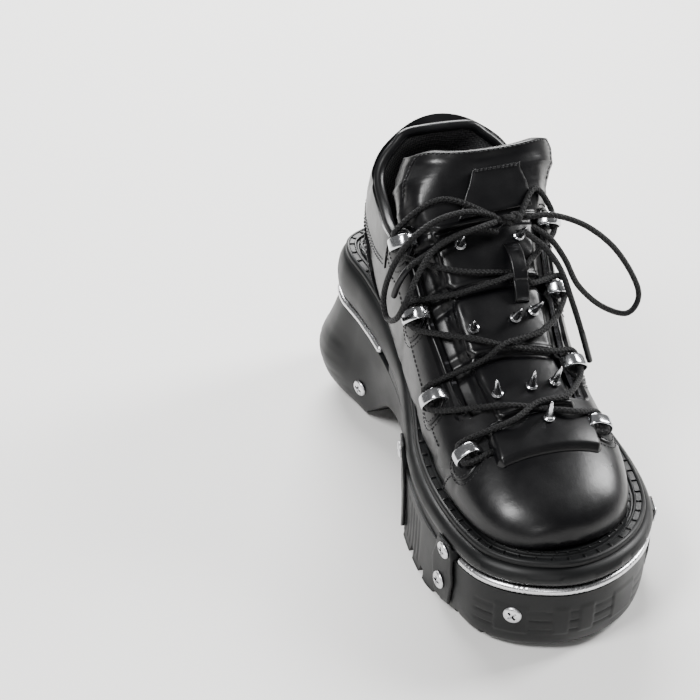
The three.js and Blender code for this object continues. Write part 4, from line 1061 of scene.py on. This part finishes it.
def tongue_point(place, across, raised=0.0):
    place, across = np.broadcast_arrays(np.asarray(place, float), np.asarray(across, float))
    top = fade(12, TONGUE_TOP, place)
    corner = np.maximum(0, np.abs(across) - CORNER_START) / (1 - CORNER_START)
    here = place + top * (CORNER_RISE * across * across - CORNER_DROP * corner**2.2)
    point = off_last(here, tongue_turn(place, across), tongue_height(place, across) + raised)
    # The edges of the standing top spread over the collar's ends, and the whole leans to the outer side
    shift = np.interp(place, EDGE_SHIFT["place"], EDGE_SHIFT["inner"]) * np.clip(-across, 0, 1) ** 1.5
    shift = shift + np.interp(place, EDGE_SHIFT["place"], EDGE_SHIFT["outer"]) * np.clip(across, 0, 1) ** 1.5
    point[..., 0] += TONGUE_LEAN * fade(12.8, 16.5, place) + shift
    return point


def tongue_normal(place, across):
    along = tongue_point(place + 0.1, across) - tongue_point(place - 0.1, across)
    over = tongue_point(place, across + 0.03) - tongue_point(place, across - 0.03)
    return unit(np.cross(over, along))


# Bends of the creases between the pads. Then their depth and the rise of the piping above, with half widths in
# sections
CREASE_BENDS = (0.1, -0.12, 0.06, 0.1)
CREASE, PIPING = (1.1, 0.09), (0.5, 0.07)
# Quilt lines beside the pads: place across, depth
QUILT_LINES = ((-0.68, 0.8), (0.74, 0.6))
# The standing top's stitch row, in from its side and its top edge
STITCH_SIDE, STITCH_TOP = 0.905, 0.36


def make_tongue(finish, thread):
    rows, columns = 380, 130
    down, over = np.meshgrid(np.linspace(0, 1, rows), np.linspace(-1, 1, columns), indexing="ij")
    place = TONGUE_FOOT + down * (TONGUE_TOP - TONGUE_FOOT)
    face = tongue_point(place, over)
    padded = 1 - fade(10.9, 11.4, place)
    # Creases between the pads with a piped edge above, each forked at its inner end
    relief = np.zeros(place.shape)
    for seam, bend in zip(PAD_SEAMS[1:], CREASE_BENDS):
        fork = 0.17 * fade(-0.5, -0.7, over)
        for side in (-1, 1):
            away = place - seam - bend * over - side * fork
            relief -= CREASE[0] * np.exp(-((away / CREASE[1]) ** 2))
            relief += PIPING[0] * np.exp(-(((away - 0.2) / PIPING[1]) ** 2))
    # Quilting beside the pads, wrinkles between it and the edge, and a soft hollow in the standing top
    quilt = -sum(depth * np.exp(-(((over - at) / 0.02) ** 2)) for at, depth in QUILT_LINES)
    gather = np.exp(-(((np.abs(over) - 0.6) / 0.1) ** 2))
    wrinkle = 0.12 * gather * np.sin(over * 40 + 3 * np.sin(place * 3.1)) * np.cos(place * 8.0 + over * 6)
    relief += (quilt + wrinkle) * padded * fade(5.2, 5.6, place)
    relief += -1.6 * np.exp(-(((place - 15.4) / 1.3) ** 2) - ((over - 0.12) / 0.4) ** 2)
    edge = np.minimum(np.minimum(down, 1 - down) * 190, (1 - np.abs(over)) * 44)
    rounding = -2.4 * (1 - np.clip(edge / 3.2, 0, 1)) ** 2
    seam = -0.55 * np.exp(-(((edge - 4.2) / 0.7) ** 2)) * fade(12.0, 13.0, place)
    normal = tongue_normal(place, over)
    face = face + normal * (relief + rounding + seam)[..., None]
    back = tongue_point(place, over, -TONGUE_THICKNESS) - normal * (rounding * 0.8)[..., None]
    finish_piece(slab("tongue_leather", face, back), finish, ["tongue"])
    side = np.linspace(12.9, TONGUE_TOP - 0.8, 22)
    top = np.linspace(-0.9, 0.9, 70)
    across = np.concatenate([np.full(22, -STITCH_SIDE), top, np.full(22, STITCH_SIDE)])
    place = np.concatenate([side, np.full(70, TONGUE_TOP - STITCH_TOP), side[::-1]])
    stitches("tongue_stitches", tongue_point(place, across), tongue_normal(place, across), thread)
    for half in (-1, 1):
        over = np.linspace(0, half * 0.16, 8)
        place = 10.55 + 1.6 * np.abs(over)
        here = over + 0.15
        line = tongue_point(place, here, 0.3)
        stitches(f"tongue_mark_{half}", line, tongue_normal(place, here), thread, 1.9)


def stitches(name, line, normals, thread, pitch=2.7, size=(0.95, 0.34)):
    """A row of short raised stitches along a line on the leather."""
    far = np.concatenate([[0], np.cumsum(np.linalg.norm(np.diff(line, axis=0), axis=1))])
    pieces = []
    half, radius = size
    for at in np.arange(pitch / 2, far[-1], pitch):
        point = np.array([np.interp(at, far, line[:, k]) for k in range(3)])
        ahead = np.array([np.interp(min(at + 0.4, far[-1]), far, line[:, k]) for k in range(3)])
        normal = unit(np.array([np.interp(at, far, normals[:, k]) for k in range(3)]))
        way = ahead - point
        if np.linalg.norm(way) < 1e-4:
            continue
        way = unit(way)
        arc = []
        for s in (-1, -0.5, 0, 0.5, 1):
            arc.append(point + way * half * s + normal * (radius * 0.9 * (1 - s * s) - 0.1))
        radii = radius * np.array([0.6, 1, 1, 1, 0.6])
        pieces.append(sweep("stitch", arc, radii, 6, ends=False))
    return finish_piece(joined(name, pieces), thread)


def traced(profile, side, out):
    """Sections and turns on one side of the last where, seen from the side, it lies behind a profile."""
    line = resampled([(0, y, z) for y, z in side_profile(profile)], 1.0)
    places = np.linspace(1, LAST_SECTIONS, 240)
    turns = np.linspace(0.01, 0.49, 180) if side == "outer" else np.linspace(0.99, 0.51, 180)
    rows, columns = np.meshgrid(places, turns, indexing="ij")
    grid = off_last(rows, columns, np.full(rows.shape, out)).reshape(-1, 3)
    tree = KDTree(len(grid))
    for n, point in enumerate(grid):
        tree.insert((0, point[1], point[2]), n)
    tree.balance()
    # Damped Newton steps from the nearest grid point
    picks = np.array([tree.find(Vector(point))[1] for point in line])
    place, turn = rows.ravel()[picks], columns.ravel()[picks]
    size = np.full(len(line), out)
    for _ in range(5):
        here = off_last(place, turn, size)[:, 1:]
        rest = line[:, 1:] - here
        slope = np.stack(
            [
                (off_last(place + 0.02, turn, size)[:, 1:] - here) / 0.02,
                (off_last(place, turn + 0.001, size)[:, 1:] - here) / 0.001,
            ],
            2,
        )
        square = np.einsum("nki,nkj->nij", slope, slope) + np.eye(2) * 0.5
        step = np.linalg.solve(square, np.einsum("nki,nk->ni", slope, rest)[..., None])[..., 0]
        place = np.clip(place + np.clip(step[:, 0], -0.3, 0.3), 0, LAST_SECTIONS)
        turn = turn + np.clip(step[:, 1], -0.01, 0.01)
    good = np.linalg.norm(rest, axis=1) < 0.5
    return place[good], turn[good]


def seam_along(profile, side, out=GAP + OVERLAY):
    place, turn = traced(profile, side, out)
    return off_last(place, turn, np.full(len(place), out)), last_normal(place, turn)


# Stitch rows as side profiles of shares of length and height, and the rise of a second row
DOUBLE_ROWS, ROW_RISE = ("collar", "counter"), 0.019
SEAMS = {
    "toe_cap": [(0.792, 0.27), (0.778, 0.215), (0.748, 0.12), (0.726, 0.03)],
    "counter": [(0.075, 0.535), (0.155, 0.505), (0.23, 0.39), (0.28, 0.25), (0.305, 0.14)],
    "collar": [(0.07, 0.585), (0.12, 0.583), (0.18, 0.553), (0.27, 0.533), (0.332, 0.55)],
    "stay": [
        (0.36, 0.555), (0.41, 0.535), (0.45, 0.46), (0.505, 0.365), (0.568, 0.28), (0.63, 0.215), (0.69, 0.18),
    ],
}


def make_seams(thread):
    for name, profile in SEAMS.items():
        for side in ("inner", "outer"):
            for row in range(2 if name in DOUBLE_ROWS else 1):
                moved = [(a, h + row * ROW_RISE) for a, h in profile]
                stitches(f"{name}_stitches_{side}_{row}", *seam_along(moved, side), thread)


# The binding's radius and place at the throat, and what the padded collar adds: radius, distance in, drop
BINDING, COLLAR_ROLL = (1.3, 0.9, 0.5), (1.7, 1.6, 0.3)
THROAT_END = 0.695


def make_binding(finish):
    """The rolled edge of the collar and throat, from one side round the heel to the other."""
    rows = [(a, h) for a, h in TOP_LINE if a < THROAT_END]
    radius, inwards, drop = (
        lambda collar, base=base, more=more: base + more * collar for base, more in zip(BINDING, COLLAR_ROLL)
    )

    def collared(points):
        return 1 - fade(0.31, 0.4, share_at(points[:, 1]))

    sides = []
    for side in ("inner", "outer"):
        points, facing = seam_along(rows, side, 0.0)
        sides.append((points - facing * inwards(collared(points))[:, None])[5::5])
    line = resampled(np.concatenate([sides[0][::-1], sides[1]]), 0.9)
    for _ in range(16):
        line[1:-1] = line[1:-1] * 0.5 + (line[:-2] + line[2:]) * 0.25
    collar = collared(line)
    line[:, 2] -= drop(collar)
    finish_piece(sweep("collar_binding", line, radius(collar), 24), finish)


STRAP_THICKNESS = 1.5
# The lace keeper: where it starts along and across the tongue, its length and width, its lift and its arch
KEEPER = {"start": 8.6, "long": 1.5, "aside": 0.21, "wide": 0.2, "lift": 1.2, "arch": 6.4}
# Rows of stitches at the pull tab's top, as shares of its length
TAB_ROWS = (0.93, 0.87)
TAB_LIFT = 2.4


def strap(name, place, across, lift, finish, replaced, size):
    """A leather strip on the tongue, with rounded edges."""
    rows, columns = size
    s, t = np.meshgrid(np.linspace(0, 1, rows), np.linspace(0, 1, columns), indexing="ij")
    p, a = place(s, t), across(s, t)
    edge = np.minimum(np.minimum(s, 1 - s) * rows, np.minimum(t, 1 - t) * columns)
    rim = -0.5 * (1 - np.clip(edge / 2.5, 0, 1)) ** 2
    normal = tongue_normal(p, a)
    base = tongue_point(p, a)
    high = lift(s, t)
    face = base + normal * (high + rim)[..., None]
    back = base + normal * (high - STRAP_THICKNESS - 0.3 * rim)[..., None]
    return finish_piece(slab(name, face, back), finish, replaced)


def make_straps(finish, thread):
    def tab_place(s, t):
        return 11.2 + 3.2 * s + 0.25 * (t - 0.5)

    def tab_across(s, t):
        left = -0.12 - 0.2 * (1 - s) ** 3
        return left + (0.5 + 0.12 * (1 - s) ** 2 - left) * t

    def tab_lift(s, t):
        return TAB_LIFT + 1.2 * np.exp(-((t / 0.06) ** 2)) * s

    strap("pull_tab_leather", tab_place, tab_across, tab_lift, finish, ["pull_tab"], (60, 60))
    strap(
        "lace_keeper_leather",
        lambda s, t: KEEPER["start"] + KEEPER["long"] * s,
        lambda s, t: KEEPER["aside"] + KEEPER["wide"] * t,
        lambda s, t: KEEPER["lift"] + KEEPER["arch"] * np.sin(np.pi * s) ** 0.7,
        finish,
        ["lace_keeper"],
        (50, 24),
    )
    t = np.linspace(0.06, 0.94, 40)
    for s in TAB_ROWS:
        p, a = tab_place(s, t), tab_across(s, t)
        normal = tongue_normal(p, a)
        stitches(f"tab_stitches_{int(s * 100)}", tongue_point(p, a) + normal * 2.5, normal, thread, 2.4)


# Hardware
def axis_of(node_name, longest):
    """Middle and outward axis of a round node."""
    points = vertices(bpy.data.objects[node_name])
    middle = (points.max(0) + points.min(0)) / 2
    spread = np.linalg.svd(points - points.mean(0), full_matrices=False)[2]
    axis = spread[0] if longest else spread[2]
    return points, middle, axis


def along_axis(base, axis):
    turned = Vector((0, 0, 1)).rotation_difference(Vector(axis)).to_matrix().to_4x4()
    return Matrix.Translation(Vector(base)) @ turned


def turned_body(name, profile, sides=40):
    """A round body from a profile of radius and height in metres."""
    turn = 2 * np.pi * np.arange(sides) / sides
    rings = [[(max(r, 1e-6) * math.cos(a), max(r, 1e-6) * math.sin(a), z) for a in turn] for r, z in profile]
    points = np.array(rings) / MM + ORIGIN
    return loft(name, points)


# Radius and height in metres from the seat to the tip
SPIKE_PROFILE = [
    (0.0005, 0), (0.0029, 0), (0.0031, 0.0003), (0.0031, 0.0007), (0.0029, 0.0010), (0.0023, 0.0012),
    (0.0021, 0.0015), (0.0020, 0.0026), (0.0015, 0.0062), (0.00085, 0.0098), (0.0005, 0.0109),
    (0.00025, 0.0113), (0.00005, 0.0114),
]
SCREW_PROFILE = [
    (0.0005, 0.0), (0.0046, 0.0), (0.00475, 0.0003), (0.0046, 0.0008), (0.0042, 0.0012),
    (0.0030, 0.00155), (0.0012, 0.0017), (0.0001, 0.0017),
]
SCREW_SLOT, SLOT_HEIGHT, SLOT_TURN = (0.0054, 0.0013, 0.0022), 0.0015, 0.15
STUDS, SCREWS = 9, {"inner": 5, "outer": 4}


def make_studs(metal):
    for number in range(1, STUDS + 1):
        source = f"stud_{number}"
        points, middle, axis = axis_of(source, True)
        along = (points - middle) @ axis
        wide = np.linalg.norm(points - middle - along[:, None] * axis, axis=1)
        if along[wide.argmax()] > 0:
            axis, along = -axis, -along
        base = middle + axis * along.min()
        body = turned_body(source + "_spike", SPIKE_PROFILE)
        body.data.transform(along_axis(base, axis))
        finish_piece(body, metal, [source], 50)


def screw_template(metal, painted_shade):
    head = turned_body("screw_head", SCREW_PROFILE, 48)
    head.data.materials.append(metal)
    # The cross recess's cut faces take a near-black material: painted shade inside the slot
    for turn in (SLOT_TURN, SLOT_TURN + math.pi / 2):
        bpy.ops.mesh.primitive_cube_add(size=1, location=(0, 0, 0))
        bar = bpy.context.object
        bar.data.materials.append(painted_shade)
        place = Matrix.Rotation(turn, 4, "Z") @ Matrix.Translation((0, 0, SLOT_HEIGHT))
        bar.data.transform(place @ Matrix.Diagonal((*SCREW_SLOT, 1)))
        combine(head, bar)
    return head


def make_screws(metal, painted_shade):
    template = screw_template(metal, painted_shade)
    for side, sign in (("inner", -1), ("outer", 1)):
        for number in range(1, SCREWS[side] + 1):
            source = f"screw_{side}_{number}"
            points, middle, axis = axis_of(source, False)
            # The fifth screw is the one at the toe's corner
            outwards = np.array([sign, -2.0 if number == 5 else 0.0, 0.0])
            if axis.dot(outwards) < 0:
                axis = -axis
            base = middle + axis * ((points - middle) @ axis).min()
            body = bpy.data.objects.new(source + "_head", template.data.copy())
            bpy.context.collection.objects.link(body)
            body.data.transform(along_axis(base, axis))
            finish_piece(body, metal, [source], 40)
    bpy.data.objects.remove(template)


# A lace loop's arch of sheet metal: half width, height, half width of the band and half its thickness
LOOP_ARCH = (6.9, LOOP_HEIGHT - 0.7, 3.3, 0.75)
# The patch under it: half length, half width and shift down the side. Then its stitch rows and their height.
PATCH_LENGTH, PATCH_WIDTH, PATCH_SHIFT = 8.6, 9.5, 3.2
PATCH_ROWS = ((6.9, 7.8, 2.5), (10.6, 11.6, 1.5))


def loop_turn(number, side):
    return 0.5 + (LOOPS["inner"][number] if side == "inner" else -LOOPS["outer"][number])


def make_lace_loops(metal, finish, thread):
    half, high, band, thick = LOOP_ARCH
    turn = np.linspace(-0.12, np.pi + 0.12, 44)
    arch_x = half * np.sign(np.cos(turn)) * np.abs(np.cos(turn)) ** 0.7
    arch_z = high * np.sign(np.sin(turn)) * np.abs(np.sin(turn)) ** 0.7
    arch = np.stack([arch_x, np.zeros(44), arch_z], 1)
    way = unit(np.gradient(arch, axis=0))
    round_turn = 2 * np.pi * np.arange(20) / 20
    wide = band * np.sign(np.cos(round_turn)) * np.abs(np.cos(round_turn)) ** 0.55
    deep = thick * np.sign(np.sin(round_turn)) * np.abs(np.sin(round_turn)) ** 0.8
    across = np.cross(way, [0, 1, 0])
    rings = arch[:, None] + wide[None, :, None] * np.array([0, 1, 0]) + deep[None, :, None] * across[:, None]
    for side in ("inner", "outer"):
        for number in range(4):
            point, normal, ahead = loop_seat(number, side)
            beside = unit(np.cross(ahead, normal))
            forward = np.cross(normal, beside)
            placed = point + rings @ np.stack([beside, forward, normal])
            ring = loft(f"lace_loop_{side}_{number + 1}_ring", placed)
            finish_piece(ring, metal, [f"lace_loop_{side}_{number + 1}"])
            make_patch(number, side, finish, thread)


def make_patch(number, side, finish, thread):
    """A rounded leather patch under a lace loop, with a row of stitches in it and one beside it."""
    place = LOOPS["place"][number]
    turn = loop_turn(number, side)
    away = 1 if side == "inner" else -1
    along = np.linalg.norm(last_point(place + 0.1, turn) - last_point(place - 0.1, turn)) / 0.2
    around = np.linalg.norm(last_point(place, turn + 0.002) - last_point(place, turn - 0.002)) / 0.004

    def on_patch(u, v, out):
        """Points at mm along the throat and down the side from the loop."""
        p, t = place + u / along, turn + away * v / around
        out = np.broadcast_to(np.asarray(out, float), np.shape(p))
        return off_last(p, t, out), last_normal(p, t)

    u, v = np.meshgrid(np.linspace(-1, 1, 40), np.linspace(-1, 1, 40), indexing="ij")
    edge = np.maximum(np.abs(u), np.abs(v))
    disc_u = u * np.sqrt(1 - v * v / 2) * PATCH_LENGTH
    disc_v = v * np.sqrt(1 - u * u / 2) * PATCH_WIDTH + PATCH_SHIFT
    rim = -0.6 * (np.clip((edge - 0.86) / 0.14, 0, 1)) ** 2
    face = on_patch(disc_u, disc_v, 2.5 + rim)[0]
    back = on_patch(disc_u, disc_v, 1.2)[0]
    finish_piece(slab(f"loop_patch_{side}_{number + 1}", face, back), finish)
    sweep_turn = np.linspace(-0.35 * np.pi, 1.35 * np.pi, 60)
    for row, (wide, long, out) in enumerate(PATCH_ROWS):
        line, facing = on_patch(wide * np.cos(sweep_turn), long * np.sin(sweep_turn) + PATCH_SHIFT, out)
        stitches(f"patch_stitches_{side}_{number + 1}_{row}", line, facing, thread, 2.3, (0.8, 0.3))


# Laces: middle lines of the cords in mm, read from the photo with the camera, resting on the leather
BOW_LOOP_INNER = [
    (2.3, 20.5, 162), (-8, 20, 166), (-18, 20, 166.5), (-31, 20, 163), (-45, 17, 155), (-53, 18, 140),
    (-56, 21, 122), (-56, 15, 112), (-55.5, 2, 119), (-52, -2, 131), (-43, 5, 143), (-33, 11, 152),
    (-21, 12, 158), (-9, 12, 161), (1, 14.5, 161.5),
]
BOW_LOOP_OUTER = [
    (21.4, 17.5, 160.3), (36, 15, 160), (54, 11, 152), (72, 10, 134), (86, 10, 108), (81, 10, 95),
    (65, 10, 102), (49, 8, 119), (39, 6, 138), (31, 9, 150), (22.5, 12.5, 156.5),
]
LACE_END_INNER = [
    (2.5, 15, 155.5), (-9, 17, 157), (-22, 17, 153.5), (-34, 17, 146.5), (-45, 13, 142.5), (-50.5, 14, 133),
    (-52.5, 15, 125),
]
LACE_END_OUTER = [
    (18, 9, 155), (25, 1, 150), (31.5, -6, 140), (36.5, -13, 124), (42, -17, 106), (47, -19, 89),
]
AGLET_LENGTH = 18
KNOT_MIDDLE = np.array([12.0, 18.0, 160.2])
KNOT_SIZE = (1.35, 1.425, 0.8)


def make_cord(name, source, route, finish):
    line = resampled(route, 1.0)
    body = finish_piece(sweep(name, line, LACE_DIAMETER / 2), finish, [source])
    return body


def make_bow(finish, tip):
    for side, route in (("inner", BOW_LOOP_INNER), ("outer", BOW_LOOP_OUTER)):
        make_cord(f"bow_loop_{side}_cord", f"bow_loop_{side}", route, finish)
    for side, route in (("inner", LACE_END_INNER), ("outer", LACE_END_OUTER)):
        make_cord(f"lace_end_{side}_cord", f"lace_end_{side}", route, finish)
    for side, route in (("inner", LACE_END_INNER), ("outer", LACE_END_OUTER)):
        line = resampled(route, 1.0)[-AGLET_LENGTH - 1 :]
        finish_piece(sweep(f"aglet_{side}", line, LACE_DIAMETER / 2 + 0.12, 16), tip)
    # A trefoil knot of the lace
    t = np.linspace(0, 2 * np.pi, 90, endpoint=False)
    turns = [np.sin(t) + 2 * np.sin(2 * t), -np.sin(3 * t), np.cos(t) - 2 * np.cos(2 * t)]
    knot = np.stack([size * turn for size, turn in zip(KNOT_SIZE, turns)], 1)
    knot = KNOT_MIDDLE + np.concatenate([knot, knot[:1]])
    body = sweep("lace_knot_cord", knot, LACE_DIAMETER / 2, 14, ends=False)
    finish_piece(body, finish, ["lace_knot"])


def loop_seat(number, side):
    """Seat, normal and way along the throat of a lace loop, counted from the toe."""
    place = LOOPS["place"][number]
    turn = loop_turn(number, side)
    out = np.array(2 * GAP + OVERLAY)
    ahead = unit(off_last(place + 0.2, turn, out) - off_last(place - 0.2, turn, out))
    return off_last(place, turn, out), last_normal(place, turn), ahead


def in_loop(seat, step):
    point, normal, ahead = seat
    return point + normal * LOOP_HEIGHT / 2 + ahead * step


def over_pads(place, across, extra):
    return tongue_point(place, across) + tongue_normal(place, across) * (LACE_DIAMETER / 2 + extra)


def strand(points):
    return sweep("strand", resampled(points, 1.0), LACE_DIAMETER / 2, 14)


def make_lace_run(finish):
    """The lace in the loops: crossings between the rows, a bar under the flap, and two ways up to the knot."""
    reach = LOOP_BAND / 2 + 3
    strands = []
    for row in range(3):
        step = LOOPS["place"][row + 1] - LOOPS["place"][row]
        middle = LOOPS["place"][row] + LOOPS["crossing"][row] * step
        for side, other, sign, lift in (("inner", "outer", 1, 4.4), ("outer", "inner", -1, 1.0)):
            way = [
                over_pads(middle - 0.15 * step, -0.5 * sign, 1.6),
                over_pads(middle, LOOPS["aside"][row], lift),
                over_pads(middle + 0.15 * step, 0.5 * sign, 1.6),
            ]
            start, end = loop_seat(row, side), loop_seat(row + 1, other)
            points = [in_loop(start, -3), in_loop(start, reach), *way, in_loop(end, -reach), in_loop(end, 3)]
            strands.append(strand(points))
    left, right = loop_seat(0, "inner"), loop_seat(0, "outer")
    under = over_pads(4.75, 0.0, -7.5)
    bar = [in_loop(left, 0), in_loop(left, -6), under, in_loop(right, -6), in_loop(right, 0)]
    strands.append(strand(bar))
    for side, across in (("inner", -0.45), ("outer", 0.62)):
        seat = loop_seat(3, side)
        end = KNOT_MIDDLE + np.array([np.sign(across) * 4, 0, -1.5])
        strands.append(strand([in_loop(seat, -3), in_loop(seat, reach), over_pads(12.0, across, 1.2), end]))
    finish_piece(joined("lace_run", strands), finish, ["lace_bars"])


def make_insole(finish):
    piece = smooth_copy("insole", "insole_board", 1.3, 3)
    finish_piece(piece, finish, ["insole"])


# Studio
WORLD_LIGHT = 0.16
# Name, place, size, power in watts and the point it faces
LIGHTS = [
    ("back_box", (0.15, 1.35, 1.0), (1.2, 0.7), 62, (0, 0, 0.05)),
    ("left_box", (-0.95, -0.45, 1.35), (0.5, 0.5), 30, (0, -0.02, 0.1)),
    ("right_box", (1.2, 0.1, 0.9), (0.4, 0.7), 30, (0, 0, 0.1)),
    ("front_fill", (-0.5, -1.7, 0.9), (0.4, 0.3), 5, (0, -0.1, 0.05)),
]


def make_studio():
    bpy.ops.mesh.primitive_plane_add(size=6, location=(0, 0, 0))
    floor = bpy.context.object
    floor.name = "floor"
    floor.data.materials.append(new_material("pale_floor", Base_Color=linear(0xEDECEA), Roughness=0.55)[0])
    world = bpy.data.worlds.new("studio")
    world.use_nodes = True
    background = world.node_tree.nodes["Background"]
    background.inputs["Color"].default_value = linear(0xFFFFFF)
    background.inputs["Strength"].default_value = WORLD_LIGHT
    bpy.context.scene.world = world
    for name, place, size, power, target in LIGHTS:
        data = bpy.data.lights.new(name, "AREA")
        data.shape = "RECTANGLE"
        data.size, data.size_y = size
        data.energy = power
        lamp = bpy.data.objects.new(name, data)
        bpy.context.collection.objects.link(lamp)
        lamp.location = place
        lamp.rotation_euler = (Vector(target) - Vector(place)).to_track_quat("-Z", "Y").to_euler()


def main():
    photo_camera()
    lace = braided_cord()
    tip = leather("lace_tip", 0x101012, 0.3, 0.002)
    black = leather("black_leather", 0x08080A, 0.33)
    thread = leather("black_thread", 0x19191B, 0.5, 0.001)
    rubber = moulded_rubber("black_rubber", 0x0A0B0C, 0.44)
    chrome = bright_metal("polished_metal", 0xD2D3D6, 0.14, (1, 1, 1))
    brushed = bright_metal("brushed_bar", 0xD8D8DA, 0.26, (1, 1, 6))
    zinc = bright_metal("zinc_screw", 0xE4E4E6, 0.3, (1, 1, 1))
    lining = mesh_lining()
    make_bow(lace, tip)
    make_lace_run(lace)
    make_studio()
    make_midsole(rubber)
    make_outsole(rubber)
    make_welt(rubber)
    make_pads(rubber)
    make_bars(brushed)
    tree = last_tree()
    make_leather(tree, fold_lines(), black, lining)
    make_insole(lining)
    make_tongue(black, thread)
    make_straps(black, thread)
    make_seams(thread)
    make_binding(black)
    make_studs(chrome)
    # The near-black rubber in the screws' cross recesses is painted shade, not the screw's own metal
    make_screws(zinc, moulded_rubber("recess_painted_shade", 0x050505, 0.7))
    make_lace_loops(chrome, black, thread)


main()
